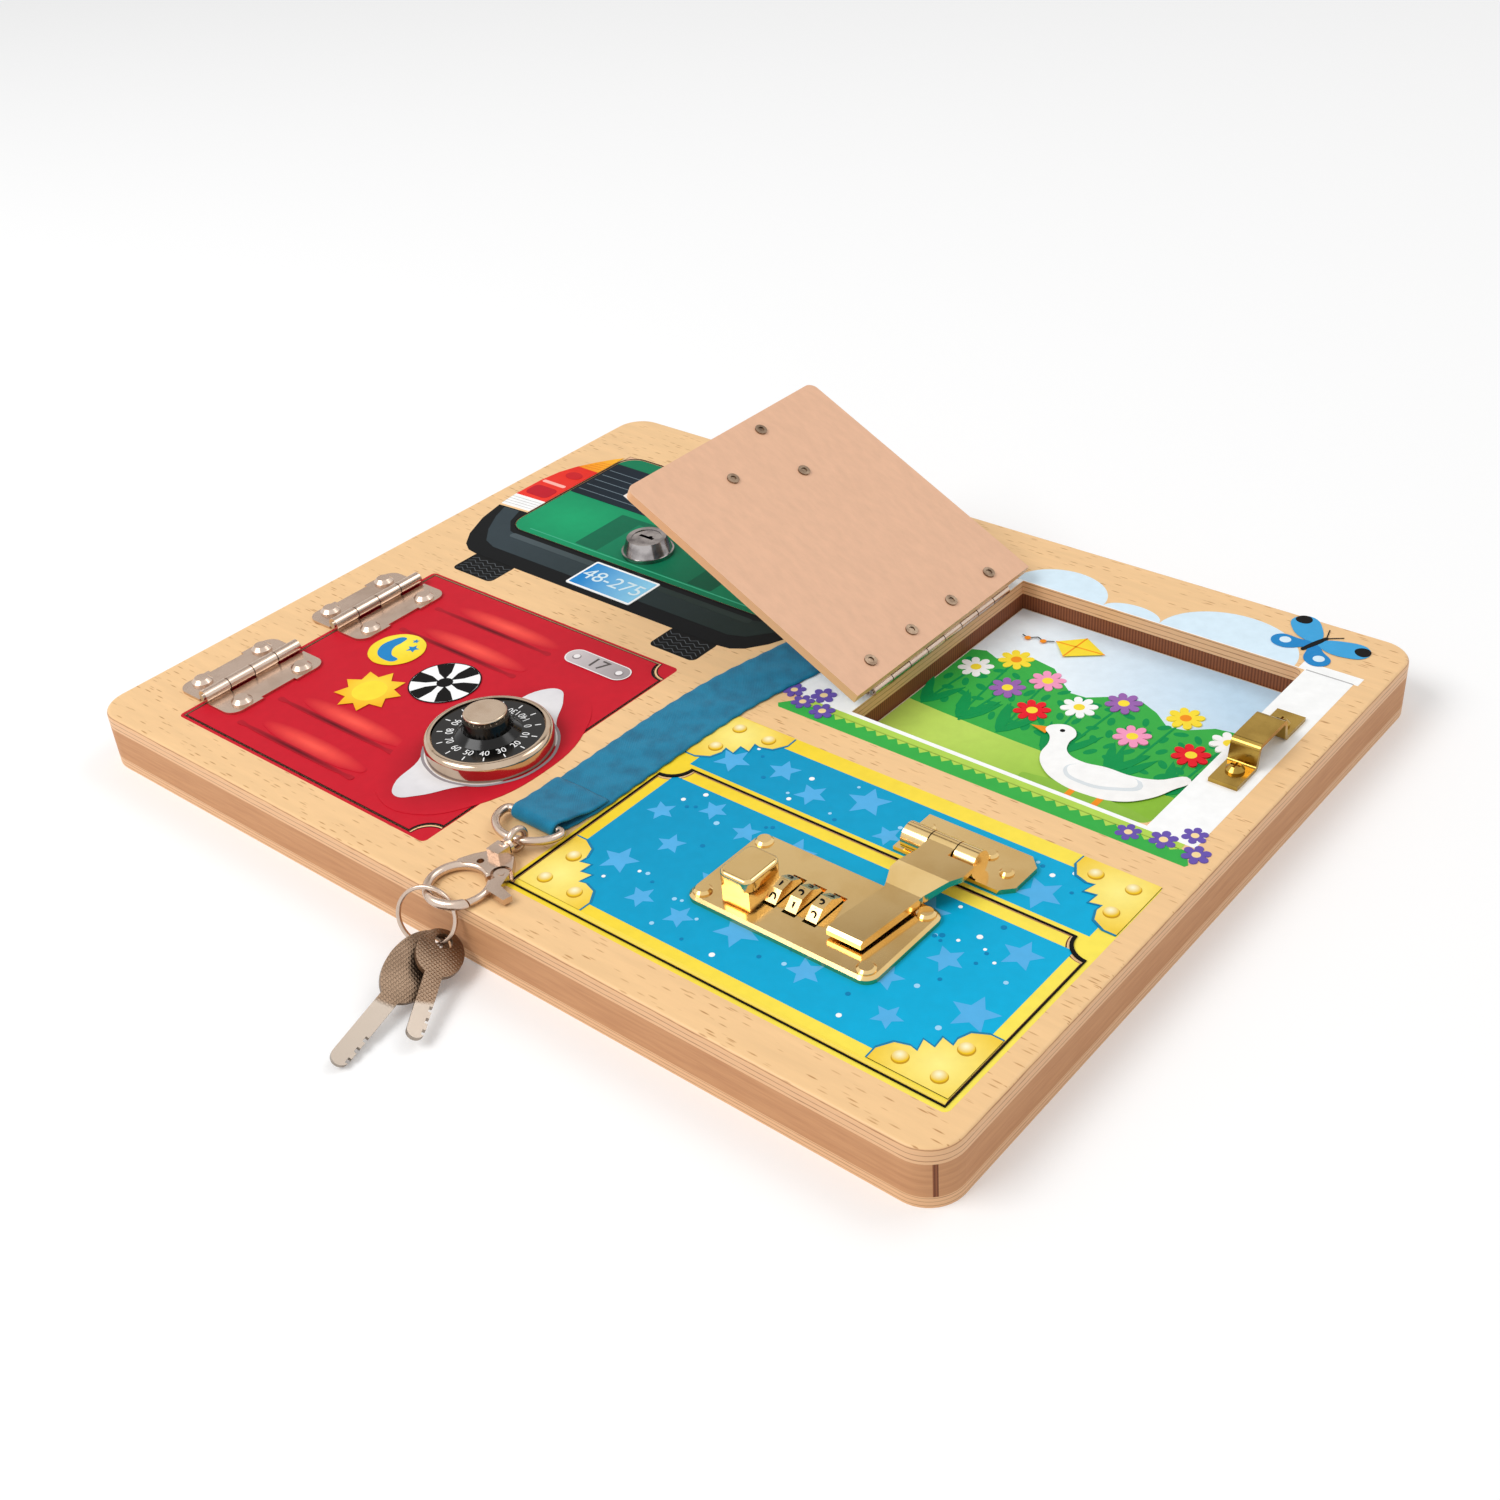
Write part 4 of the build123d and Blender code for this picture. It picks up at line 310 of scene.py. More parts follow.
@dataclass(frozen=True)
class Ink(Finish):
    """Screen-printed ink under lacquer: a satin film that lets a little of the wood's unevenness through."""

    colour: str
    second: str = ""
    spread: Spread = Spread.PLAIN
    start: Point = (0.0, 0.0)
    end: Point = (1.0, 1.0)
    roughness: float = 0.48

    def shade(self, tree: Tree, place: Socket, coordinates: Node) -> Node:
        """Builds the ink's nodes. Args and Returns are as in Finish.shade."""
        mottle = add_node(tree, "TexNoise", {"Scale": 0.25, "Detail": 4.0}, {0: place})
        tone = add_node(tree, "MapRange", {1: 0.3, 2: 0.7, 3: 0.965, 4: 1.03}, {0: mottle})
        if self.spread is Spread.PLAIN:
            colour = add_node(tree, "RGB")
            colour.outputs[0].default_value = linear(self.colour)
        else:
            colour = add_node(
                tree,
                "ValToRGB",
                {"stops": ((0.0, self.colour), (1.0, self.second))},
                {0: self.share(tree, place)},
            )
        toned = add_node(tree, "VectorMath", {"operation": "SCALE"}, {0: colour, "Scale": tone})
        bump = add_node(tree, "Bump", {"Strength": 0.04, "Distance": 0.0001}, {"Height": mottle})
        return add_node(
            tree,
            "BsdfPrincipled",
            {"Roughness": self.roughness, "IOR": 1.46, "Specular IOR Level": 0.1},
            {"Base Color": toned, "Normal": bump},
        )

    def share(self, tree: Tree, place: Socket) -> Socket:
        """Works out how far a point is from the first colour to the second.

        Args:
            tree: The material's node tree.
            place: The point on the surface, in millimetres.

        Returns:
            A value from zero to one.
        """
        moved = add_node(tree, "VectorMath", {"operation": "SUBTRACT", 1: (*self.start, 0.0)}, {0: place})
        if self.spread is Spread.RADIAL:
            scaled = add_node(
                tree,
                "VectorMath",
                {"operation": "MULTIPLY", 1: (1 / self.end[0], 1 / self.end[1], 0.0)},
                {0: moved},
            )
            return add_node(tree, "VectorMath", {"operation": "LENGTH"}, {0: scaled}).outputs["Value"]
        run = Vector((self.end[0] - self.start[0], self.end[1] - self.start[1], 0.0))
        way = run / run.length_squared
        return add_node(
            tree, "VectorMath", {"operation": "DOT_PRODUCT", 1: way[:]}, {0: moved}
        ).outputs["Value"]


@dataclass(frozen=True)
class PlatedMetal(Finish):
    """Stamped or cast metal with a bright plating: even colour, faint polishing marks, dull patches."""

    colour: str
    dull: str
    gloss: float
    patch_size: float = 9.0
    dimples: bool = False
    bow: Place = (-1.7, -150.8, 17.0)
    bow_reach: float = 30.0
    blade: str = "a2968a"

    def shade(self, tree: Tree, place: Socket, coordinates: Node) -> Node:
        """Builds the plating's nodes. Args and Returns are as in Finish.shade."""
        patches = add_node(tree, "TexNoise", {"Scale": 1 / self.patch_size, "Detail": 5.0}, {0: place})
        colour = add_node(
            tree, "ValToRGB", {"stops": ((0.30, self.dull), (0.58, self.colour))}, {0: patches}
        )
        polish_place = add_node(tree, "Mapping", {"Scale": (0.5, 4.0, 4.0)}, {0: place})
        polish = add_node(tree, "TexNoise", {"Scale": 1.0, "Detail": 4.0}, {0: polish_place})
        roughness = add_node(
            tree,
            "MapRange",
            {1: 0.3, 2: 0.7, 3: self.gloss * 0.94, 4: self.gloss * 1.08},
            {0: polish},
        )
        height, depth, strength = polish, 0.00003, 0.04
        if self.dimples:
            # The bow is embossed with dots 1 mm apart and coloured darker than the blade, which is bare.
            dots = add_node(
                tree, "TexVoronoi", {"voronoi_dimensions": "2D", "Scale": 1.0, "Randomness": 0.0}, {0: place}
            )
            away = add_node(tree, "VectorMath", {"operation": "DISTANCE", 1: self.bow}, {0: place})
            edge = {1: self.bow_reach, 2: self.bow_reach + 1.5}
            bare = add_node(tree, "MapRange", edge, {0: away.outputs["Value"]})
            near = add_node(tree, "Math", {"operation": "SUBTRACT", 0: 1.0}, {1: bare})
            raised = add_node(tree, "MapRange", {1: 0.15, 2: 0.45}, {0: dots.outputs["Distance"]})
            height = add_node(tree, "Math", {"operation": "MULTIPLY"}, {0: raised, 1: near})
            depth, strength = 0.0002, 0.35
            colour = add_node(
                tree,
                "Mix",
                {"data_type": "RGBA", 7: linear(self.blade)},
                {0: bare, 6: colour},
            ).outputs[2]
        bump = add_node(tree, "Bump", {"Strength": strength, "Distance": depth}, {"Height": height})
        return add_node(
            tree,
            "BsdfPrincipled",
            {"Metallic": 1.0},
            {"Base Color": colour, "Roughness": roughness, "Normal": bump},
        )


@dataclass(frozen=True)
class MouldedPlastic(Finish):
    """Glossy moulded plastic: deep even colour with a very fine orange peel."""

    colour: str
    roughness: float = 0.2
    worn_colour: str = "1b1918"

    def shade(self, tree: Tree, place: Socket, coordinates: Node) -> Node:
        """Builds the plastic's nodes. Args and Returns are as in Finish.shade."""
        peel = add_node(tree, "TexNoise", {"Scale": 1.2, "Detail": 2.0}, {0: place})
        worn = add_node(tree, "MapRange", {1: 0.35, 2: 1.0, 3: 0.0, 4: 0.3}, {0: peel})
        colours = {"data_type": "RGBA", 6: linear(self.colour), 7: linear(self.worn_colour)}
        tone = add_node(tree, "Mix", colours, {0: worn})
        bump = add_node(tree, "Bump", {"Strength": 0.05, "Distance": 0.0001}, {"Height": peel})
        return add_node(
            tree,
            "BsdfPrincipled",
            {"Roughness": self.roughness, "IOR": 1.5, "Specular IOR Level": 0.3},
            {"Base Color": tone.outputs[2], "Normal": bump},
        )


@dataclass(frozen=True)
class WovenRibbon(Finish):
    """Plain-woven polyester ribbon: fine cross ribs, cloudy colour and a soft sheen."""

    colour: str
    shade_colour: str
    rib: float = 0.9

    def shade(self, tree: Tree, place: Socket, coordinates: Node) -> Node:
        """Builds the ribbon's nodes on its own UV map. Args and Returns are as in Finish.shade."""
        woven = add_node(tree, "UVMap", {"uv_map": "ribbon"})
        split = add_node(tree, "SeparateXYZ", links={0: woven})
        heights = []
        for axis, spacing in (("X", self.rib), ("Y", self.rib * 0.8)):
            turned = add_node(
                tree,
                "Math",
                {"operation": "MULTIPLY", 1: 2 * math.pi / (spacing * MM)},
                {0: split.outputs[axis]},
            )
            heights.append(add_node(tree, "Math", {"operation": "SINE"}, {0: turned}))
        weave = add_node(tree, "Math", {"operation": "MULTIPLY"}, {0: heights[0], 1: heights[1]})
        cloudy = add_node(tree, "TexNoise", {"Scale": 0.16, "Detail": 4.0}, {0: place})
        mixed = add_node(
            tree,
            "ValToRGB",
            {"stops": ((0.30, self.shade_colour), (0.62, self.colour))},
            {0: cloudy},
        )
        thread = add_node(tree, "MapRange", {1: -1.0, 2: 1.0, 3: 0.88, 4: 1.06}, {0: weave})
        toned = add_node(tree, "VectorMath", {"operation": "SCALE"}, {0: mixed, "Scale": thread})
        bump = add_node(tree, "Bump", {"Strength": 0.5, "Distance": 0.00012}, {"Height": weave})
        return add_node(
            tree,
            "BsdfPrincipled",
            {"Roughness": 0.72, "Specular IOR Level": 0.25, "Sheen Weight": 0.12, "Sheen Roughness": 0.5},
            {"Base Color": toned, "Normal": bump},
        )


# --- outlines ----------------------------------------------------------------------------
def polar(x: float, y: float, radius: float, turn: float) -> Point:
    """Returns the point at a distance and an angle in degrees from x and y."""
    return (x + radius * math.cos(math.radians(turn)), y + radius * math.sin(math.radians(turn)))


@dataclass(frozen=True)
class Outline:
    """One closed outline on a flat face, in millimetres, with straight or smoothly curved sides."""

    points: tuple[Point, ...]
    smooth: bool = False

    def placed(self, x: float, y: float, turn: float = 0.0) -> "Outline":
        """Turns the outline about its own origin, then moves it.

        Args:
            x: Move to the right.
            y: Move to the back.
            turn: Anticlockwise turn in degrees.

        Returns:
            The placed outline.
        """
        cosine, sine = polar(0.0, 0.0, 1.0, turn)
        moved = tuple((x + a * cosine - b * sine, y + a * sine + b * cosine) for a, b in self.points)
        return Outline(moved, self.smooth)

    def mirrored(self, x: float) -> "Outline":
        """Returns the outline mirrored left to right about x."""
        return Outline(tuple((2 * x - a, b) for a, b in reversed(self.points)), self.smooth)


def disc(x: float, y: float, radius: float, radius_y: float | None = None) -> Outline:
    """Returns a circle or an upright ellipse.

    Args:
        x: Its middle.
        y: Its middle.
        radius: Its radius, or half of the ellipse's width.
        radius_y: Half of the ellipse's height.

    Returns:
        The smooth outline.
    """
    count = 10
    turns = [2 * math.pi * step / count for step in range(count)]
    tall = radius if radius_y is None else radius_y
    return Outline(tuple((x + radius * math.cos(t), y + tall * math.sin(t)) for t in turns), True)


def arc(x: float, y: float, radius: float, start: float, end: float, steps: int = 8) -> tuple[Point, ...]:
    """Returns points along an arc.

    Args:
        x: Middle of the arc.
        y: Middle of the arc.
        radius: Radius of the arc.
        start: First angle in degrees.
        end: Last angle in degrees.
        steps: How many straight pieces it has.

    Returns:
        The points, first and last included.
    """
    return tuple(polar(x, y, radius, start + (end - start) * step / steps) for step in range(steps + 1))


def plate(left: float, right: float, front: float, back: float, corner: float = 0.0) -> Outline:
    """Returns a rectangle with rounded corners.

    Args:
        left: Its left side.
        right: Its right side.
        front: Its front side.
        back: Its back side.
        corner: Radius of its corners.

    Returns:
        The outline.
    """
    if corner <= 0:
        return poly((left, front), (right, front), (right, back), (left, back))
    return Outline(
        arc(left + corner, front + corner, corner, 180, 270)
        + arc(right - corner, front + corner, corner, 270, 360)
        + arc(right - corner, back - corner, corner, 0, 90)
        + arc(left + corner, back - corner, corner, 90, 180)
    )


def star(x: float, y: float, radius: float, turn: float = 0.0, tips: int = 5, waist: float = 0.47) -> Outline:
    """Returns a star with straight sides.

    Args:
        x: Its middle.
        y: Its middle.
        radius: Reach of its tips.
        turn: Anticlockwise turn in degrees.
        tips: How many tips it has.
        waist: Reach of its inner corners, as a share of the radius.

    Returns:
        The outline.
    """
    reaches = (radius, radius * waist)
    return poly(*(polar(x, y, reaches[step % 2], 90 + turn + 180 * step / tips) for step in range(2 * tips)))


def blob(*points: Point) -> Outline:
    """Returns a smooth outline through the points."""
    return Outline(points, True)


def poly(*points: Point) -> Outline:
    """Returns an outline with straight sides through the points."""
    return Outline(points)


def band(start: Point, end: Point, width: float) -> Outline:
    """Returns a straight stroke.

    Args:
        start: Where it starts.
        end: Where it ends.
        width: Its width.

    Returns:
        The outline.
    """
    run = Vector((end[0] - start[0], end[1] - start[1])).normalized() * width / 2
    x, y = -run.y, run.x
    return poly(
        (start[0] - x, start[1] - y), (end[0] - x, end[1] - y), (end[0] + x, end[1] + y), (
            start[0] + x, start[1] + y
        )
    )


def ring(outer: Outline, inner: Outline) -> tuple[Outline, Outline]:
    """Returns two outlines, of which the second is a hole in the first."""
    return (outer, inner)


# --- printed pieces ----------------------------------------------------------------------
def curve_mesh(data: bpy.types.Curve) -> bpy.types.Mesh:
    """Turns curve or text data into a mesh and removes the data.

    Args:
        data: The curve or text data.

    Returns:
        The mesh.
    """
    holder = bpy.data.objects.new("outline", data)
    bpy.context.scene.collection.objects.link(holder)
    bpy.context.view_layer.update()
    made = bpy.data.meshes.new_from_object(holder.evaluated_get(bpy.context.evaluated_depsgraph_get()))
    bpy.data.objects.remove(holder)
    bpy.data.curves.remove(data)
    return made


class Print:
    """Layers of ink on one flat face of one body, kept as one piece."""

    def __init__(
        self, name: str, body: str, slot: str, base: float = TOP, place: Matrix | None = None
    ) -> None:
        """Starts an empty print.

        Args:
            name: Name of the piece.
            body: The body that it rides on.
            slot: Not used; it is only kept on the print.
            base: Height of the face, in millimetres.
            place: A last transform, in metres, for a face that isn't level.
        """
        self.name = name
        self.body = body
        self.slot = slot
        self.base = base
        self.place = place
        self.level = base
        self.shape = bmesh.new()
        self.materials: list[bpy.types.Material] = []

    def _take(self, mesh: bpy.types.Mesh, finish: Finish, matrix: Matrix | None = None) -> None:
        """Adds a mesh to the print in one finish.

        Args:
            mesh: The mesh, which is removed.
            finish: Its finish.
            matrix: Where it goes, in metres.
        """
        if matrix is not None:
            mesh.transform(matrix)
        material = finish.material()
        if material not in self.materials:
            self.materials.append(material)
        before = len(self.shape.faces)
        self.shape.from_mesh(mesh)
        self.shape.faces.ensure_lookup_table()
        for face in self.shape.faces[before:]:
            face.material_index = self.materials.index(material)
            face.smooth = False
        bpy.data.meshes.remove(mesh)

    def ink(self, finish: Finish, *outlines: Outline | tuple[Outline, Outline]) -> "Print":
        """Prints outlines in one ink, on top of what is there.

        Args:
            finish: The ink.
            outlines: Closed outlines, each of which may come with its hole.

        Returns:
            The print, so that calls can follow each other.
        """
        self.level += INK_STEP
        half = (self.level - self.base) / 2
        for shape in outlines:
            data = bpy.data.curves.new("ink", "CURVE")
            data.dimensions = "2D"
            data.fill_mode = "BOTH"
            data.extrude = half * MM
            data.resolution_u = 6
            for outline in shape if isinstance(shape, tuple) else (shape,):
                spline = data.splines.new("BEZIER" if outline.smooth else "POLY")
                if outline.smooth:
                    spline.bezier_points.add(len(outline.points) - 1)
                    for knot, (x, y) in zip(spline.bezier_points, outline.points):
                        knot.co = (x * MM, y * MM, 0)
                        knot.handle_left_type = "AUTO"
                        knot.handle_right_type = "AUTO"
                else:
                    spline.points.add(len(outline.points) - 1)
                    for knot, (x, y) in zip(spline.points, outline.points):
                        knot.co = (x * MM, y * MM, 0, 1)
                spline.use_cyclic_u = True
            self._take(curve_mesh(data), finish, Matrix.Translation((0, 0, (self.base + half) * MM)))
        return self

    def text(
        self,
        finish: Finish,
        words: str,
        x: float,
        y: float,
        height: float,
        turn: float = 0.0,
        stretch: float = 1.0,
    ) -> "Print":
        """Prints plain figures, on top of what is there.

        Args:
            finish: The ink.
            words: The figures.
            x: Middle of the line of figures.
            y: Middle of the line of figures.
            height: Height of a figure, in millimetres.
            turn: Anticlockwise turn in degrees.
            stretch: Width of the figures against their natural width.

        Returns:
            The print, so that calls can follow each other.
        """
        self.level += INK_STEP
        half = (self.level - self.base) / 2
        place = (
            Matrix.Translation((x * MM, y * MM, (self.base + half) * MM))
            @ Matrix.Rotation(math.radians(turn), 4, "Z")
            @ Matrix.Diagonal((stretch, 1, 1, 1))
        )
        self._take(figures(words, height, half), finish, place)
        return self

    def done(self) -> bpy.types.Object:
        """Makes the piece and lets it ride on its body.

        Returns:
            The piece.
        """
        bmesh.ops.remove_doubles(self.shape, verts=self.shape.verts, dist=MERGE_DISTANCE)
        bmesh.ops.recalc_face_normals(self.shape, faces=self.shape.faces)
        if self.place is not None:
            bmesh.ops.transform(self.shape, matrix=self.place, verts=self.shape.verts)
        return piece(self.name, self.shape, self.body, self.materials)


def figures(words: str, height: float, half: float) -> bpy.types.Mesh:
    """Makes a mesh of plain figures about the origin.

    Args:
        words: The figures.
        height: Height of a figure, in millimetres.
        half: Half of their thickness, in millimetres.

    Returns:
        The mesh, in metres.
    """
    data = bpy.data.curves.new("figures", "FONT")
    data.body = words
    data.align_x = "CENTER"
    data.align_y = "CENTER"
    data.size = height / FIGURE_SHARE * MM
    data.extrude = half * MM
    data.resolution_u = 4
    return curve_mesh(data)


def piece(
    name: str,
    shape: bmesh.types.BMesh,
    body: str,
    materials: list[bpy.types.Material],
    smooth: bool = False,
) -> bpy.types.Object:
    """Turns a bmesh into an object that rides on a body.

    Args:
        name: Name of the piece.
        shape: Its mesh, which is freed.
        body: The body that it rides on.
        materials: Its materials.
        smooth: Whether its faces are shaded smooth.

    Returns:
        The object.
    """
    mesh = bpy.data.meshes.new(name)
    if smooth:
        for face in shape.faces:
            face.smooth = True
    shape.to_mesh(mesh)
    shape.free()
    for material in materials:
        mesh.materials.append(material)
    made = bpy.data.objects.new(name, mesh)
    bpy.context.scene.collection.objects.link(made)
    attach(made, body)
    LOG.info("%s rides on %s", name, body)
    return made


def dress(finish: Finish, *nodes: str) -> None:
    """Gives carried-over nodes a finish in all their material slots.

    Args:
        finish: The finish.
        nodes: Names of the nodes.
    """
    for name in nodes:
        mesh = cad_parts[name].data
        if not mesh.materials:
            mesh.materials.append(None)
        for index in range(len(mesh.materials)):
            mesh.materials[index] = finish.material()
        LOG.info("%s is dressed in %s", name, finish.name)


# --- finishes ----------------------------------------------------------------------------
PLYWOOD = dict(fleck="be8a54", ply_pale="e8b88a", ply_dark="a06a44")
SHEET_PLY = BeechPlywood("beech_plywood_face_sheet", "f2c791", ply_low=16.0, ply_thickness=5.5, **PLYWOOD)
BACK_PLY = BeechPlywood("beech_plywood_back_board", "eac093", ply_low=0.0, ply_thickness=4.0, **PLYWOOD)
# The locker and trunk doors' edges are coloured near black as painted shade of the gaps round them; the
# board's walls on the other side of the same cuts stay pale.
DOOR_PLY = BeechPlywood(
    "beech_plywood_door_with_painted_shade_edge",
    "e8b893",
    fleck="be8a54",
    ply_pale="4a3020",
    ply_dark="24160e",
    ply_low=17.9,
    ply_thickness=3.6,
    flecks=0.15,
)
LID_PLY = BeechPlywood(
    "beech_plywood_chest_door",
    "e8b893",
    ply_low=17.9,
    ply_thickness=3.6,
    flecks=0.15,
    paint="f7dc46",
    paint_y=-125.5,
    **PLYWOOD,
)
OPEN_PLY = BeechPlywood(
    "beech_plywood_bare_back", "e8b795", ply_low=-60.0, ply_thickness=1.0, flecks=0.0, **PLYWOOD
)
# Its third colour, for the walls inside the wells, is darker as painted shade of the recesses.
CORE = SawnHardwood("sawn_hardwood_core", "cd976b", "bf885e", "8f5433")
NICKEL = PlatedMetal("nickel_plated_steel", "d3beae", "c6b09f", 0.24)
BRIGHT = PlatedMetal("bright_zinc_steel", "c9c6c2", "a29d97", 0.24)
POLISHED_NICKEL = PlatedMetal("polished_nickel", "cdb8a2", "bfa78f", 0.12)
CHROME = PlatedMetal("chrome_lock", "b7b2b1", "6d6768", 0.13, 7.0)
BRONZE = PlatedMetal("aged_bronze", "8f7b68", "6b5848", 0.3, 3.0)
BRASS = PlatedMetal("polished_brass", "e8c88c", "dfbb7a", 0.15, 16.0)
AGED_BRASS = PlatedMetal("aged_brass", "b8974a", "a08038", 0.18, 9.0)
KEY_STEEL = PlatedMetal("nickel_silver_key", "88725f", "7a6553", 0.34, 9.0, True)
DIAL_BLACK = MouldedPlastic("black_moulded_dial", "080706", 0.16)
RIBBON = WovenRibbon("teal_woven_ribbon", "0380a6", "02698c")

RED = Ink("red_ink", "ca182b")
BLACK = Ink("black_ink", "080707")
WHITE = Ink("white_ink", "fbfbfa")
YELLOW = Ink("yellow_ink", "fbe03a")
ORANGE = Ink("orange_ink", "f6921e")
GREY = Ink("grey_ink", "5c5654")
GRASS = Ink("grass_ink", "3aae49")
LEAF = Ink("leaf_ink", "07934d")
LIME = Ink("lime_ink", "b4d655")
CLOUD = Ink("cloud_ink", "daeefa")
LILAC = Ink("lilac_ink", "6a55ad")
VIOLET = Ink("violet_ink", "9b66b0")
PINK = Ink("pink_ink", "f59bc1")
SCARLET = Ink("scarlet_ink", "ea1c2c")
SKY_BLUE = Ink("sky_blue_ink", "3fa4dc")
DEEP_BLUE = Ink("deep_blue_ink", "1f86c8")
STAR_BLUE = Ink("star_blue_ink", "55b0e6")
DOT_BLUE = Ink("dot_blue_ink", "9fd5f4")
NAVY = Ink("navy_ink", "06090c")
CHARCOAL = Ink("charcoal_ink", "39454a")


# --- camera, light and floor ----------------------------------------------------------------
@dataclass
class Studio:
    """Camera, soft lamps and a pale floor."""

    camera_place: Place = (0.3669, -0.4037, 0.3671)
    forward: Place = (-0.55343, 0.60985, -0.56727)
    right: Place = (0.76883, 0.63600, -0.06634)
    lens: float = 44.02
    floor_half: float = 8.0
    floor_lift: float = 0.1
    air_light: float = 0.56
    card_place: Place = (-1.15, 1.27, 1.2)
    card_size: Point = (2.6, 1.6)
    card_stripes: tuple[tuple[float, str], ...] = (
        (0.0, "b8b0a9"), (0.10, "3a312b"), (0.19, "c9c2bc"), (0.36, "e2dcd7"), (0.52, "faf8f6"),
        (0.70, "dfd9d3"), (0.80, "5a5049"), (0.87, "2e2621"), (0.93, "e9e6e3"), (1.0, "bdb6b0"),
    )

    def camera(self) -> None:
        """Makes the camera."""
        data = bpy.data.cameras.new("camera")
        data.lens = self.lens
        data.sensor_width = 36.0
        data.sensor_fit = "HORIZONTAL"
        data.clip_start = 0.01
        data.clip_end = 100.0
        away = -Vector(self.forward).normalized()
        side = Vector(self.right).normalized()
        up = away.cross(side).normalized()
        side = up.cross(away).normalized()
        made = bpy.data.objects.new("camera", data)
        turned = Matrix((side, up, away)).transposed().to_4x4()
        made.matrix_world = Matrix.Translation(self.camera_place) @ turned
        bpy.context.scene.collection.objects.link(made)
        bpy.context.scene.camera = made

    def lamp(self, name: str, place: Place, size: Point, watts: float) -> None:
        """Makes a soft rectangular lamp that points at the object.

        Args:
            name: Name of the lamp.
            place: Its middle, in metres.
            size: Its width and height, in metres.
            watts: Its power.
        """
        data = bpy.data.lights.new(name, "AREA")
        data.shape = "RECTANGLE"
        data.size, data.size_y = size
        data.energy = watts
        made = bpy.data.objects.new(name, data)
        made.matrix_world = self.facing(place)
        bpy.context.scene.collection.objects.link(made)

    def facing(self, place: Place) -> Matrix:
        """Returns the transform of something at a place that faces the object."""
        return Matrix.Translation(place) @ Vector(place).to_track_quat("Z", "Y").to_matrix().to_4x4()

    def seen(self, tree: Tree) -> Node:
        """Finds whether a ray comes straight, mirrored or through glass from the camera.

        Args:
            tree: The node tree that asks.

        Returns:
            One for such a ray and zero for any other.
        """
        path = add_node(tree, "LightPath")
        mirrored = add_node(
            tree,
            "Math",
            {"operation": "MAXIMUM"},
            {0: path.outputs["Is Glossy Ray"], 1: path.outputs["Is Transmission Ray"]},
        )
        return add_node(
            tree,
            "Math",
            {"operation": "MAXIMUM"},
            {0: path.outputs["Is Camera Ray"], 1: mirrored},
        )

    def world(self) -> None:
        """Makes an even pale world that lights the object and shows white behind it."""
        world = bpy.data.worlds.new("studio_air")
        bpy.context.scene.world = world
        world.use_nodes = True
        tree = world.node_tree
        tree.nodes.clear()
        strength = add_node(
            tree, "MapRange", {"To Min": self.air_light, "To Max": 1.0}, {0: self.seen(tree)}
        )
        air = add_node(tree, "Background", {"Color": linear("ffffff")}, {"Strength": strength})
        add_node(tree, "OutputWorld", links={"Surface": air})

    def square(self, name: str, half: float, finish: str) -> tuple[bpy.types.Object, Tree]:
        """Makes a flat square that isn't part of the board.

        Args:
            name: Its name.
            half: Half of its side, in metres.
            finish: Name of its material.

        Returns:
            The square and its material's empty node tree.
        """
        shape = bmesh.new()
        bmesh.ops.create_grid(shape, x_segments=1, y_segments=1, size=half)
        mesh = bpy.data.meshes.new(name)
        shape.to_mesh(mesh)
        shape.free()
        material = bpy.data.materials.new(finish)
        material.use_nodes = True
        material.node_tree.nodes.clear()
        mesh.materials.append(material)
        made = bpy.data.objects.new(name, mesh)
        bpy.context.scene.collection.objects.link(made)
        return made, material.node_tree

    def floor(self) -> None:
        """Makes the floor, which keeps the object's soft shadow."""
        made, tree = self.square("floor", self.floor_half, "pale_paper_floor")
        paper = add_node(tree, "BsdfDiffuse", {"Color": linear("fbfbfb")})
        shown = add_node(tree, "BsdfDiffuse", {"Color": linear("f4f4f4")})
        lift = add_node(tree, "Emission", {"Color": linear("ffffff"), "Strength": self.floor_lift})
        white = add_node(tree, "AddShader", links={0: shown, 1: lift})
        surface = add_node(tree, "MixShader", links={0: self.seen(tree), 1: paper, 2: white})
        add_node(tree, "OutputMaterial", links={"Surface": surface})

    def card(self) -> None:
        """Makes the striped card that only polished surfaces mirror, like a room's walls and windows."""
        made, tree = self.square("mirrored_card", 0.5, "striped_card")
        place = add_node(tree, "TexCoord")
        split = add_node(tree, "SeparateXYZ", links={0: place.outputs["Object"]})
        height = add_node(tree, "MapRange", {1: -0.5, 2: 0.5}, {0: split.outputs["Y"]})
        stripes = add_node(tree, "ValToRGB", {"stops": self.card_stripes}, {0: height})
        shine = add_node(tree, "Emission", {"Strength": 1.0}, {"Color": stripes})
        add_node(tree, "OutputMaterial", links={"Surface": shine})
        made.matrix_world = self.facing(self.card_place) @ Matrix.Diagonal((*self.card_size, 1.0, 1.0))
        made.visible_camera = False
        made.visible_diffuse = False
        made.visible_shadow = False

    def build(self) -> None:
        """Makes the whole studio."""
        bpy.context.scene.view_settings.view_transform = "Standard"
        self.camera()
        self.world()
        self.floor()
        self.card()
        self.lamp("key_lamp", (-0.7, -1.3, 1.7), (1.4, 1.0), 26.0)
        self.lamp("fill_lamp", (0.6, 1.2, 1.9), (1.2, 0.8), 8.0)
        LOG.info("studio built")


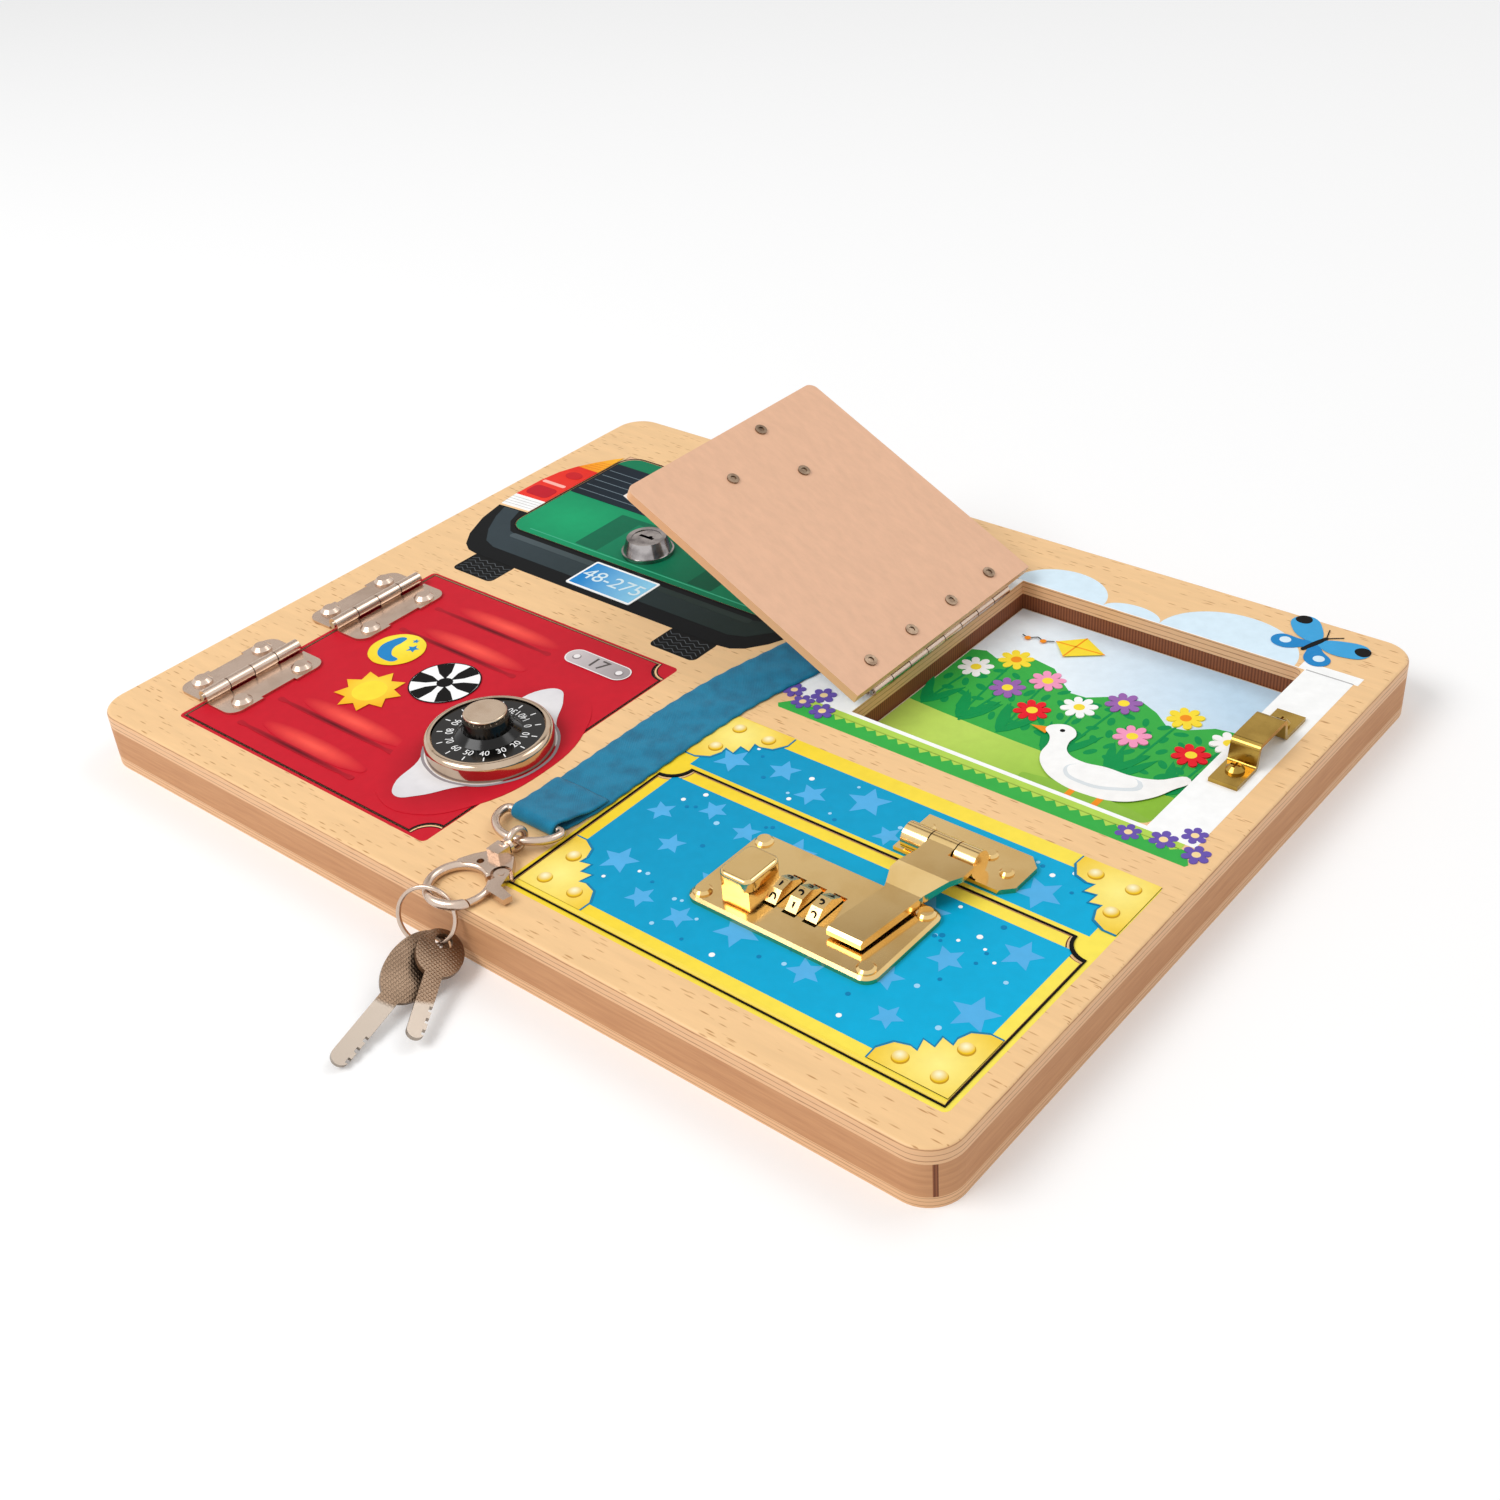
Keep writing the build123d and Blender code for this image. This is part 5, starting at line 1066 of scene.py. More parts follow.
# --- the board -----------------------------------------------------------------------------
@dataclass(frozen=True)
class Door:
    """A door's outline and the gap round it, in millimetres."""

    left: float
    right: float
    front: float
    back: float
    notch: float = 0.0
    notched: tuple[str, ...] = ()
    corner: float = 0.0
    gap: float = 0.4

    def outline(self, grow: float) -> Outline:
        """Returns the door's outline, grown on every side, with its scooped corners.

        Args:
            grow: Distance outside the door's own edge; less than zero is inside.

        Returns:
            The outline.
        """
        left, right = self.left - grow, self.right + grow
        front, back = self.front - grow, self.back + grow
        if self.corner:
            return plate(left, right, front, back, self.corner + grow)
        reach = math.sqrt(max(self.notch**2 - 2 * grow * self.notch, 0.01))
        corners = {
            "front_left": (left, front, 90.0, 0.0), "front_right": (right, front, 180.0, 90.0),
            "back_right": (right, back, 270.0, 180.0), "back_left": (left, back, 360.0, 270.0),
        }
        points: list[Point] = []
        for name, (x, y, start, end) in corners.items():
            if name in self.notched:
                points.extend(arc(x, y, reach, start, end))
            else:
                points.append((x, y))
        return Outline(tuple(points))

    def opening(self) -> Outline:
        """Returns the line round the opening at which ink on the board ends."""
        return self.outline(self.gap + INK_CLEARANCE)


LOCKER = Door(-151.0, -24.5, -128.2, -9.0, 7.5, ("front_right", "back_right"))
TRUNK = Door(-157.0, -16.0, 37.0, 111.6, corner=8.0)
GARDEN = Door(44.4, 156.6, 5.4, 111.6)
CHEST = Door(14.5, 173.5, -127.5, -52.6, 8.5, ("back_left", "back_right"))


class Board:
    """The layered board itself: face sheet, sawn core and back."""

    def dress(self) -> None:
        """Gives the board's wooden layers their finishes."""
        dress(SHEET_PLY, "top_sheet")
        dress(BACK_PLY, "back_board")
        dress(CORE, "core_stiles", "core_rails", "core_blocks")
        dress(DOOR_PLY, "locker_door", "trunk_door")
        dress(LID_PLY, "chest_door")
        dress(OPEN_PLY, "garden_door")


@dataclass
class Locker:
    """The red locker door with its louvres, stickers, number plate, lens and dial."""

    left: float = -153.0
    right: float = -23.5
    front: float = -130.0
    back: float = -7.5
    line: float = 0.25
    dial: Point = (-44.8, -80.0)
    louvre_middle: float = -100.5
    louvres: tuple[float, ...] = (-26.5, -44.5, -102.0, -120.0)
    figure_radius: float = 13.5
    figure_count: int = 15
    figure_turn: float = 47.0
    tick: Point = (15.8, 17.8)
    dial_top: float = 27.8

    def on_door(self, name: str, base: float = STICKER_TOP) -> Print:
        """Starts a print on the door."""
        return Print(name, "locker_door_body", "locker_print", base)

    def surround(self) -> None:
        """Prints the red edge on the board round the door."""
        edge = Print("locker_surround_print", BOARD_BODY, "locker_print")
        opening = LOCKER.opening()
        edge.ink(RED, ring(plate(self.left, self.right, self.front, self.back, 2.0), opening))
        edge.ink(BLACK, ring(LOCKER.outline(LOCKER.gap + self.line), opening))
        edge.done()

    def panel(self) -> None:
        """Prints the door's red face with pressed louvres."""
        face = self.on_door("locker_door_print", TOP)
        face.ink(BLACK, LOCKER.outline(-0.02))
        face.ink(RED, LOCKER.outline(-0.35))
        x = self.louvre_middle
        for y in self.louvres:
            name = f"{abs(y):.0f}"
            shine, size = (x + 4, y + 5.2), (27.0, 4.4)
            glow = Ink(f"louvre_glow_{name}", "ff5a4c", RED.colour, Spread.RADIAL, shine, size)
            fold = Ink(f"louvre_fold_{name}", "4e0612", "b51829", Spread.RADIAL, (x, y), (31.0, 1.3))
            face.ink(glow, disc(*shine, *size))
            face.ink(fold, disc(x, y, 31.0, 1.2))
        middle, size = (self.dial[0] - 1.5, self.dial[1] - 1), (27.5, 43.0)
        halo = Ink("lens_shadow_ink", "6e0a16", RED.colour, Spread.RADIAL, middle, size)
        face.ink(halo, disc(*middle, *size))
        face.done()

    def lens(self) -> None:
        """Prints the pale lens-shaped plate under the dial."""
        x, y = self.dial
        tip_x, reach, tip, half = x - 5.0, 32.5, 6.0, 24.5
        shape = blob(
            (tip_x, y + reach + tip), (tip_x - 5.4, y + reach + 2), (x - 14.0, y + 20.5),
            (x - half, y + 4.0), (x - half, y - 4.0), (x - 14.0, y - 20.5), (tip_x - 5.4, y - reach - 2),
            (tip_x, y - reach - tip), (tip_x + 5.6, y - reach - 2), (x + 9.0, y - 22.5),
            (x + 17.5, y - 15.0), (x + 19.0, y), (x + 17.5, y + 15.0), (x + 9.0, y + 22.5),
            (tip_x + 5.6, y + reach + 2),
        )
        shell = Ink("lens_ink", "ffffff", "cfcace", Spread.RADIAL, (tip_x - 1, y + 2), (31.0, 52.0), 0.4)
        lens = self.on_door("locker_lens_print")
        lens.ink(shell, shape)
        seat = Ink("lens_seat_ink", "9a9499")
        lens.ink(seat, ring(disc(x, y, 23.6), disc(x, y, 22.6)))
        lens.done()

    def stickers(self) -> None:
        """Pastes the stickers: a moon, a sun and a beach ball."""
        sun = self.on_door("sun_sticker")
        sun_fill = Ink("sun_fill_ink", "ffe84a", "f9b71f", Spread.RADIAL, (-108, -78), (13.0, 13.0))
        sun.ink(sun_fill, star(-107.0, -80.5, 13.0, 8.0, 9, 0.68))
        sun.ink(YELLOW, disc(-107.0, -80.5, 6.4))
        sun.done()
        moon = self.on_door("moon_sticker")
        night = Ink("night_fill_ink", "fff04e", "f5cf1c", Spread.RADIAL, (-123, -52), (17.0, 17.0))
        moon.ink(night, disc(-120.3, -55.8, 10.8))
        moon.ink(
            DEEP_BLUE,
            blob(
                (-123.5, -48.2), (-127.2, -53.0), (-126.6, -59.2), (-121.0, -63.2), (-114.6, -61.0),
                (-119.2, -59.4), (-122.4, -55.2), (-122.4, -51.2),
            ),
        )
        moon.ink(DEEP_BLUE, star(-115.6, -52.2, 2.6, 10.0), star(-118.6, -47.9, 1.5, 30.0))
        moon.done()
        ball = self.on_door("ball_sticker")
        x, y, radius = -88.0, -61.5, 13.2
        ball.ink(BLACK, disc(x, y, radius))
        ball.ink(WHITE, disc(x, y, radius - 0.5))
        wedges = []
        for turn in range(0, 360, 60):
            tip = arc(x, y, radius - 0.5, turn, turn + 30, 4)
            waist = (radius - 0.5) * 0.55
            hub = polar(x, y, 2.4, turn + 15)
            wedges.append(poly(*tip, polar(x, y, waist, turn + 34), hub, polar(x, y, waist, turn - 4)))
        ball.ink(BLACK, *wedges)
        ball.ink(BLACK, disc(x, y, 3.0))
        ball.done()

    def number_plate(self) -> None:
        """Prints the small grey plate with its number and two rivets."""
        tag = self.on_door("locker_number_plate")
        metal = Ink("tag_ink", "d9cfd0", "a39b9c", Spread.LINEAR, (-66, -24), (-35, -20))
        tag.ink(Ink("tag_edge_ink", "f4eeee"), plate(-65.0, -35.0, -26.4, -17.2, 4.6))
        tag.ink(metal, plate(-64.5, -35.5, -25.9, -17.7, 4.1))
        rivet = Ink("tag_rivet_ink", "f7f2f2")
        shadow = Ink("tag_rivet_shadow_ink", "8f8788")
        for x in (-60.4, -39.6):
            tag.ink(shadow, disc(x + 0.2, -22.1, 1.7))
            tag.ink(rivet, disc(x, -21.8, 1.3))
        tag.text(GREY, "17", -50.0, -21.8, 5.6, stretch=1.12)
        tag.done()

    def dial_marks(self) -> None:
        """Prints the dial's figures and ticks."""
        x, y = self.dial
        marks = Print("dial_marks", "dial_body", "dial_black", self.dial_top)
        pitch = 360 / self.figure_count
        for step in range(self.figure_count):
            angle = self.figure_turn - step * pitch
            marks.level = self.dial_top
            marks.text(WHITE, str(step * 10), *polar(x, y, self.figure_radius, angle), 2.8, angle + 90, 0.9)
            marks.level = self.dial_top
            marks.ink(WHITE, band(*(polar(x, y, reach, angle) for reach in self.tick), 0.42))
        marks.done()

    def picture(self) -> None:
        """Prints the shelf picture behind the door."""
        inside = Print("locker_inside_print", BOARD_BODY, "picture_board", PICTURE_TOP)
        inside.ink(Ink("locker_wall_ink", "bcd3e2"), plate(-150.5, -25.0, -127.8, -9.4))
        inside.ink(Ink("locker_shelf_ink", "7f98ab"), plate(-150.5, -25.0, -66.0, -62.5))
        inside.ink(ORANGE, disc(-122.0, -48.0, 14.0))
        inside.ink(
            BLACK, band((-136.0, -48.0), (-108.0, -48.0), 0.8), band((-122.0, -62.0), (-122.0, -34.0), 0.8)
        )
        for index, tint in enumerate((SCARLET, GRASS, DEEP_BLUE, YELLOW)):
            inside.ink(tint, plate(-98.0 + 7 * index, -92.0 + 7 * index, -62.4, -36.0 + 3 * (index % 2)))
        inside.ink(
            VIOLET, blob((-130, -122), (-84, -122), (-84, -108), (-100, -102), (-112, -88), (-130, -90))
        )
        inside.ink(WHITE, plate(-132.0, -82.0, -124.0, -119.5, 1.5))
        inside.done()

    def dress(self) -> None:
        """Gives the locker's hardware its finishes."""
        dress(
            NICKEL,
            "locker_hinge_frame_leaves",
            "locker_hinge_door_leaves",
            "locker_hinge_frame_rivets",
            "locker_hinge_door_rivets",
        )
        dress(BRIGHT, "locker_hinge_pins", "dial_case_nut", "dial_cam")
        dress(POLISHED_NICKEL, "dial_case", "dial_spindle")
        dress(DIAL_BLACK, "dial_face")

    def build(self) -> None:
        """Makes and dresses everything on the locker."""
        self.surround()
        self.panel()
        self.lens()
        self.stickers()
        self.number_plate()
        self.dial_marks()
        self.picture()
        self.dress()


@dataclass
class Trunk:
    """The car's back with its trunk lid, bumper, tyres, lights and number plate."""

    middle: float = -86.5
    tread_pitch: float = 2.25

    def both(self, *outlines: Outline) -> tuple[Outline, ...]:
        """Returns outlines and their mirror images about the car's middle."""
        return outlines + tuple(outline.mirrored(self.middle) for outline in outlines)

    def whole(self, half: tuple[Point, ...]) -> Outline:
        """Returns the outline of a left half and its mirror image about the car's middle."""
        return Outline(half + Outline(half).mirrored(self.middle).points)

    def car(self) -> None:
        """Prints the car's back on the board round the lid."""
        car = Print("car_print", BOARD_BODY, "trunk_print")
        opening = TRUNK.opening()
        tyre = plate(-150.2, -128.2, -0.8, 14.0, 2.5)
        car.ink(Ink("tyre_ink", "060708"), *self.both(tyre))
        tread = []
        for row in range(5):
            y = 1.0 + 2.3 * row
            for step in range(9):
                x = -149.0 + self.tread_pitch * step
                rise = 0.8 if step % 2 == 0 else -0.8
                tread.append(band((x, y - rise), (x + self.tread_pitch, y + rise), 0.28))
        car.ink(Ink("tread_ink", "5a5f63"), *self.both(*tread))
        half = (
            (self.middle, 12.6), (-150.0, 12.6), (-155.5, 13.4), (-160.2, 16.4), (-165.5, 23.5),
            (-171.0, 36.0), (-173.7, 48.3), (-157.5, 49.4), (-157.5, 44.8), (-156.9, 42.0), (-155.0, 39.0),
            (-151.9, 37.0), (-149.0, 36.5), (self.middle, 36.5),
        )
        car.ink(NAVY, self.whole(half))
        high = (
            (self.middle, 20.4), (-148.5, 20.4), (-155.0, 22.8), (-161.5, 30.2), (-167.2, 40.0),
            (-170.2, 47.9), (-162.0, 48.5), (-158.6, 40.0), (-152.5, 34.0), (-147.0, 32.6),
            (self.middle, 32.6),
        )
        steel = Ink("bumper_ink", "333f45", "1d2a27", Spread.LINEAR, (-150, 30), (-30, 30))
        car.ink(steel, self.whole(high))
        lip = Ink("bumper_lip_ink", "4c585d", "26332f", Spread.LINEAR, (-150, 30), (-60, 30))
        car.ink(lip, plate(-150.0, -23.0, 30.4, 33.6, 1.4))
        car.ink(BLACK, ring(TRUNK.outline(TRUNK.gap + 0.6), opening))
        self.lights(car)
        tag = Ink("car_plate_ink", "1f86cd", "8fd0ee", Spread.LINEAR, (-100, 22), (-72, 30))
        car.ink(WHITE, plate(-103.4, -69.8, 15.8, 34.4, 1.0))
        car.ink(tag, plate(-102.4, -70.8, 16.8, 33.4, 0.5))
        car.text(Ink("car_figures_ink", "d9ecf2"), "48-275", -86.6, 25.1, 7.4, stretch=1.05)
        car.done()

    def lights(self, car: Print) -> None:
        """Prints the two tail lights.

        Args:
            car: The print that they belong to.
        """
        lens = (
            (-158.3, 50.6), (-173.9, 49.6), (-175.0, 60.0), (-174.8, 74.0), (-173.4, 84.0), (-170.4, 92.0),
            (-166.2, 99.0), (-161.6, 105.5), (-158.3, 109.0),
        )
        car.ink(WHITE, *self.both(Outline(lens)))
        lines = [band((-174.6, 51.4 + 1.9 * step), (-158.6, 52.4 + 1.9 * step), 0.25) for step in range(4)]
        car.ink(Ink("light_line_ink", "b9b4b2"), *self.both(*lines))
        red = ((-158.3, 60.2), (-174.9, 59.4), *lens[3:])
        lamp = Ink("lamp_ink", "f0372b", "e42a1c", Spread.LINEAR, (-170, 60), (-160, 90))
        car.ink(lamp, *self.both(Outline(red)))
        amber = ((-158.3, 92.4), (-169.9, 92.4), *lens[6:])
        glow = Ink("amber_ink", "f58a12", "fdb52a", Spread.LINEAR, (-170, 90), (-158, 104))
        car.ink(glow, *self.both(Outline(amber)))
        ribs = [
            band((-167.5 + step, 94.0 + 2.0 * step), (-158.6, 95.0 + 2.0 * step), 0.3) for step in range(4)
        ]
        car.ink(Ink("amber_line_ink", "e0701a"), *self.both(*ribs))
        car.ink(Ink("lamp_inner_ink", "c11327"), *self.both(plate(-173.2, -160.4, 62.2, 70.6, 2.6)))
        car.ink(Ink("lamp_shine_ink", "ffb9ad"), *self.both(plate(-173.6, -160.6, 73.4, 75.4, 0.9)))
        car.ink(Ink("lamp_small_ink", "cb1a22"), *self.both(disc(-165.0, 84.5, 4.2, 3.0)))

    def lid(self) -> None:
        """Prints the green lid and its dark window."""
        lid = Print("trunk_door_print", "trunk_door_body", "trunk_print")
        green = Ink("car_green_ink", "12a56c", "067a52", Spread.RADIAL, (-138, 56), (62.0, 40.0))
        lid.ink(green, TRUNK.outline(-0.02))
        panel = Ink("recess_ink", "07694a", "08543a", Spread.LINEAR, (-120, 60), (-55, 45))
        lid.ink(panel, plate(-122.6, -50.4, 41.0, 69.6, 0.8))
        recess = Ink("recess_floor_ink", "0b7d57", "0a6a49", Spread.LINEAR, (-110, 60), (-64, 45))
        lid.ink(recess, plate(-110.5, -62.5, 41.0, 66.4))
        lid.ink(Ink("lip_shine_ink", "3fae85"), plate(-147.0, -26.0, 39.7, 40.3))
        glass = plate(-156.9, -16.1, 73.6, 103.5, 1.0)
        lid.ink(Ink("glass_ink", "101c26", "1d3040", Spread.LINEAR, (-150, 74), (-60, 104)), glass)
        wires = [plate(-155.5, -17.5, y, y + 0.35) for y in (77.6, 82.4, 87.2, 92.0, 96.8)]
        lid.ink(Ink("wire_ink", "75868f"), *wires)
        lid.done()

    def picture(self) -> None:
        """Prints the suitcase picture under the lid."""
        inside = Print("trunk_inside_print", BOARD_BODY, "picture_board", PICTURE_TOP)
        inside.ink(Ink("carpet_ink", "8b8f94"), plate(-156.5, -16.5, 37.4, 111.2))
        inside.ink(ORANGE, plate(-140.0, -88.0, 52.0, 88.0, 5.0))
        inside.ink(
            Ink("strap_ink", "8a4b1c"), plate(-130.0, -126.0, 52.0, 88.0), plate(-102.0, -98.0, 52.0, 88.0)
        )
        handle = ring(plate(-122.0, -106.0, 88.0, 95.0, 2.0), plate(-119.5, -108.5, 88.0, 92.5, 1.0))
        inside.ink(Ink("handle_ink", "5b3013"), handle)
        for tint, radius in ((SCARLET, 17.0), (WHITE, 11.0), (SKY_BLUE, 5.5)):
            inside.ink(tint, disc(-52.0, 68.0, radius))
        inside.done()

    def dress(self) -> None:
        """Gives the trunk's hardware its finishes."""
        dress(NICKEL, "trunk_hinge_door_leaf", "trunk_hinge_rivets")
        dress(BRIGHT, "cam_lock_nut", "cam_lock_tongue")
        dress(CHROME, "cam_lock_body", "cam_lock_plug")

    def build(self) -> None:
        """Makes and dresses everything on the car."""
        self.car()
        self.lid()
        self.picture()
        self.dress()


@dataclass
class Garden:
    """The window over the garden: frame, clouds, grass and the picture in the well."""

    open_turn: float = -153.0
    hinge: Place = (44.2, 0.0, 23.5)
    lintel: float = 112.2
    leaf_seed: int = 5

    def flower(
        self, sheet: Print, x: float, y: float, size: float, petal: Finish, heart: Finish, petals: int
    ) -> None:
        """Prints a round-petalled flower.

        Args:
            sheet: The print that it belongs to.
            x: Its middle.
            y: Its middle.
            size: Its radius.
            petal: Ink of the petals.
            heart: Ink of its heart.
            petals: How many petals it has.
        """
        steps = 8 * petals
        rim = []
        for step in range(steps):
            reach = size * (0.52 + 0.48 * abs(math.sin(math.pi * step / 8)) ** 0.6)
            rim.append(polar(x, y, reach, 360 / steps * step + 12))
        sheet.ink(petal, poly(*rim))
        sheet.ink(heart, disc(x, y, size * 0.3))

    def surround(self) -> None:
        """Prints the white window frame, the grass and the clouds on the board."""
        yard = Print("garden_surround_print", BOARD_BODY, "garden_print")
        opening = GARDEN.opening()
        skyline = [(40.2, self.lintel)]
        for left, right, height in ((40.2, 78.0, 16.0), (78.0, 101.0, 6.5), (101.0, 153.0, 21.0)):
            middle, half = (left + right) / 2, (right - left) / 2
            for step in range(1, 25):
                turn = math.radians(180 - 7.5 * step)
                skyline.append((middle + half * math.cos(turn), self.lintel + height * math.sin(turn)))
        yard.ink(CLOUD, poly(*skyline))
        yard.ink(GRASS, poly((19.5, -4.6), (24, 0.6), (173, 0.6), (176.6, -5.2), (176.0, -6.4), (21.0, -6.4)))
        blades = []
        for step in range(33):
            x = 27.0 + 4.35 * step
            blades.append(poly((x, 0.4), (x + 2.3, -2.1 if step % 2 else -1.5), (x + 4.5, 0.4)))
        yard.ink(LIME, plate(25.0, 171.0, 0.2, 3.4), *blades)
        yard.ink(WHITE, ring(plate(18.4, 174.4, 3.2, 112.4), opening))
        yard.ink(WHITE, plate(154.6, 176.0, self.lintel, 117.0), plate(16.8, 40.0, self.lintel, 117.0))
        yard.ink(
            Ink("sill_shade_ink", "b7b6b6"),
            plate(157.4, 174.4, 111.9, 112.5),
            plate(18.4, 42.0, 111.9, 112.5),
        )
        spots = (
            (154.0, -1.0), (164.6, 1.6), (171.4, 8.6), (176.2, 0.4),
            (26.4, 0.4), (35.6, -0.6), (19.4, 4.6), (30.2, 7.4),
        )
        heart = Ink("heart_ink", "f7d9a0")
        for index, (x, y) in enumerate(spots):
            self.flower(yard, x, y, 4.2 + 0.4 * (index % 2), LILAC, heart, 6)
        yard.done()

    def butterfly(self) -> None:
        """Prints the blue butterfly at the window's corner."""
        wings = Print("butterfly_print", BOARD_BODY, "garden_print", TOP + 0.2)
        upper = blob((0.6, 1.0), (6.0, 9.6), (14.0, 12.0), (17.0, 7.0), (12.6, 1.6), (4.0, -0.6))
        lower = blob((0.6, -0.6), (6.0, -1.8), (12.0, -4.6), (11.4, -9.6), (6.2, -10.6), (1.8, -6.0))
        tips = blob((11.0, 9.0), (14.4, 11.6), (16.6, 7.4), (13.2, 6.2))
        at = (152.5, 129.0, -20.0)
        spot = disc(8.0, -6.0, 2.0)
        for shape, tint in ((upper, SKY_BLUE), (lower, DEEP_BLUE), (tips, BLACK), (spot, CLOUD)):
            wings.ink(tint, shape.placed(*at), shape.mirrored(0).placed(*at))
        wings.ink(NAVY, disc(0, 0, 1.1, 6.6).placed(*at))
        wings.ink(NAVY, *(band((0.3 * way, 6.0), (3.4 * way, 10.6), 0.4).placed(*at) for way in (1, -1)))
        wings.done()

    def picture(self) -> None:
        """Prints the garden in the well: sky, hedge, lawn, flowers, a kite and a goose."""
        yard = Print("garden_picture_print", BOARD_BODY, "picture_board", PICTURE_TOP)
        sky = Ink("sky_ink", "eef7fd", "bfdcf2", Spread.LINEAR, (80, 70), (130, 112))
        yard.ink(sky, plate(44.8, 156.2, 5.8, 111.2))
        hedge = (
            (44.9, 30.0), (44.9, 76.5), (50, 78.5), (56, 76), (60, 79.5), (68, 83), (77, 81.5), (84, 75.5),
            (90, 71), (96, 71.5), (104, 77.5), (113, 80), (121, 76.5), (128, 71), (134, 72.5), (142, 79),
            (150, 80.5), (156.1, 77.0), (156.1, 30.0),
        )
        yard.ink(GRASS, Outline(hedge))
        draw = random.Random(self.leaf_seed)
        leaves = []
        for step in range(80):
            x = 48.4 + 6.6 * (step % 16) + 3.3 * (step // 16 % 2) + draw.uniform(-0.4, 0.4)
            y = 44.0 + 6.4 * (step // 16) + draw.uniform(-0.4, 0.4)
            leaf = disc(0, 0, draw.uniform(2.2, 2.7), draw.uniform(1.1, 1.5))
            leaves.append(leaf.placed(x, y, draw.uniform(0, 180)))
        yard.ink(LEAF, *leaves)
        lawn = Ink("lawn_ink", "bfdc62", "8dc03c", Spread.LINEAR, (80, 38), (120, 4))
        yard.ink(
            lawn,
            poly((44.9, 5.9), (44.9, 37.0), (60, 36.0), (90, 35.0), (125, 35.2), (156.1, 36.6), (156.1, 5.9)),
        )
        heads = (
            (53.0, 67.0, WHITE), (62.5, 79.0, YELLOW), (70.0, 61.5, VIOLET), (79.5, 73.0, PINK),
            (85.0, 54.0, SCARLET), (97.5, 64.5, WHITE), (109.0, 75.0, VIOLET), (121.5, 59.0, PINK),
            (131.0, 78.5, YELLOW), (143.0, 60.0, SCARLET), (150.0, 73.0, WHITE),
        )
        blade = poly(
            (0, 0), (1.5, 4.0), (1.9, 9.0), (1.2, 14.0), (0.0, 18.5), (-1.4, 13.0), (-1.8, 8.0), (-1.2, 3.0)
        )
        stems: list[Outline] = []
        blades: list[list[Outline]] = [[], [], [], []]
        for index, (x, y, _) in enumerate(heads):
            lean = 3.0 if index % 2 else -3.0
            foot = 37.0 - (index % 3)
            stems.append(band((x, y), (x + lean, foot), 0.9))
            blades[index % 2].append(blade.placed(x + lean, foot, 20.0))
            blades[2 + index % 2].append(blade.placed(x + lean, foot, -24.0))
        for shapes in (stems, *blades):
            yard.ink(LEAF, *shapes)
        for x, y, tint in heads:
            self.flower(yard, x, y, 6.6, tint, ORANGE if tint is YELLOW else YELLOW, 8)
        yard.done()
        self.kite()
        self.goose()

    def kite(self) -> None:
        """Prints the yellow kite in the sky."""
        kite = Print("kite_print", BOARD_BODY, "picture_board", CUTOUT_TOP)
        kite.ink(YELLOW, poly((68.0, 97.0), (75.5, 89.5), (87.5, 98.5), (76.5, 105.0)))
        kite.ink(ORANGE, band((68.0, 97.0), (87.5, 98.5), 0.6), band((75.5, 89.5), (76.5, 105.0), 0.6))
        tail = [(67.6, 96.6), (64.0, 94.6), (61.0, 96.0), (58.0, 93.6), (55.2, 94.6)]
        kite.ink(NAVY, *(band(start, end, 0.5) for start, end in zip(tail, tail[1:])))
        kite.ink(ORANGE, disc(64.0, 94.6, 1.2), disc(58.0, 93.6, 1.2))
        kite.done()

    def goose(self) -> None:
        """Prints the white goose on the lawn."""
        goose = Print("goose_print", BOARD_BODY, "picture_board", CUTOUT_TOP)
        shade = Ink("goose_shadow_ink", "8fbf45")
        goose.ink(shade, disc(127.0, 19.5, 25.0, 3.6))
        goose.ink(ORANGE, poly((96.2, 48.4), (89.6, 46.0), (96.4, 44.2)))
        goose.ink(ORANGE, plate(120.0, 122.2, 15.0, 24.0), plate(130.0, 132.2, 15.0, 24.0))
        goose.ink(
            ORANGE,
            poly((120, 15), (114.6, 14.4), (122.2, 17.4)),
            poly((130, 15), (124.6, 14.4), (132.2, 17.4)),
        )
        body = blob(
            (95.0, 47.2), (97.4, 51.2), (102.0, 52.2), (105.8, 49.0), (106.2, 43.4), (108.8, 38.6),
            (115.0, 36.6), (124.0, 38.2), (133.0, 38.6), (141.0, 41.4), (149.6, 47.6), (147.6, 39.0),
            (143.6, 30.6), (136.6, 24.0), (126.0, 21.4), (115.0, 22.2), (106.4, 26.6), (101.6, 33.0),
            (100.4, 40.0), (98.6, 43.6),
        )
        goose.ink(WHITE, body)
        goose.ink(
            Ink("goose_wing_ink", "dfe6ea"),
            blob((113.0, 33.0), (124.0, 34.6), (139.0, 35.6), (132.0, 28.2), (121.0, 25.6), (113.6, 28.0)),
        )
        goose.ink(
            WHITE,
            blob((113.6, 33.2), (124.0, 34.9), (137.0, 35.8), (131.0, 29.6), (121.0, 27.2), (114.4, 29.2)),
        )
        goose.ink(BLACK, disc(100.6, 48.6, 0.9))
        goose.done()

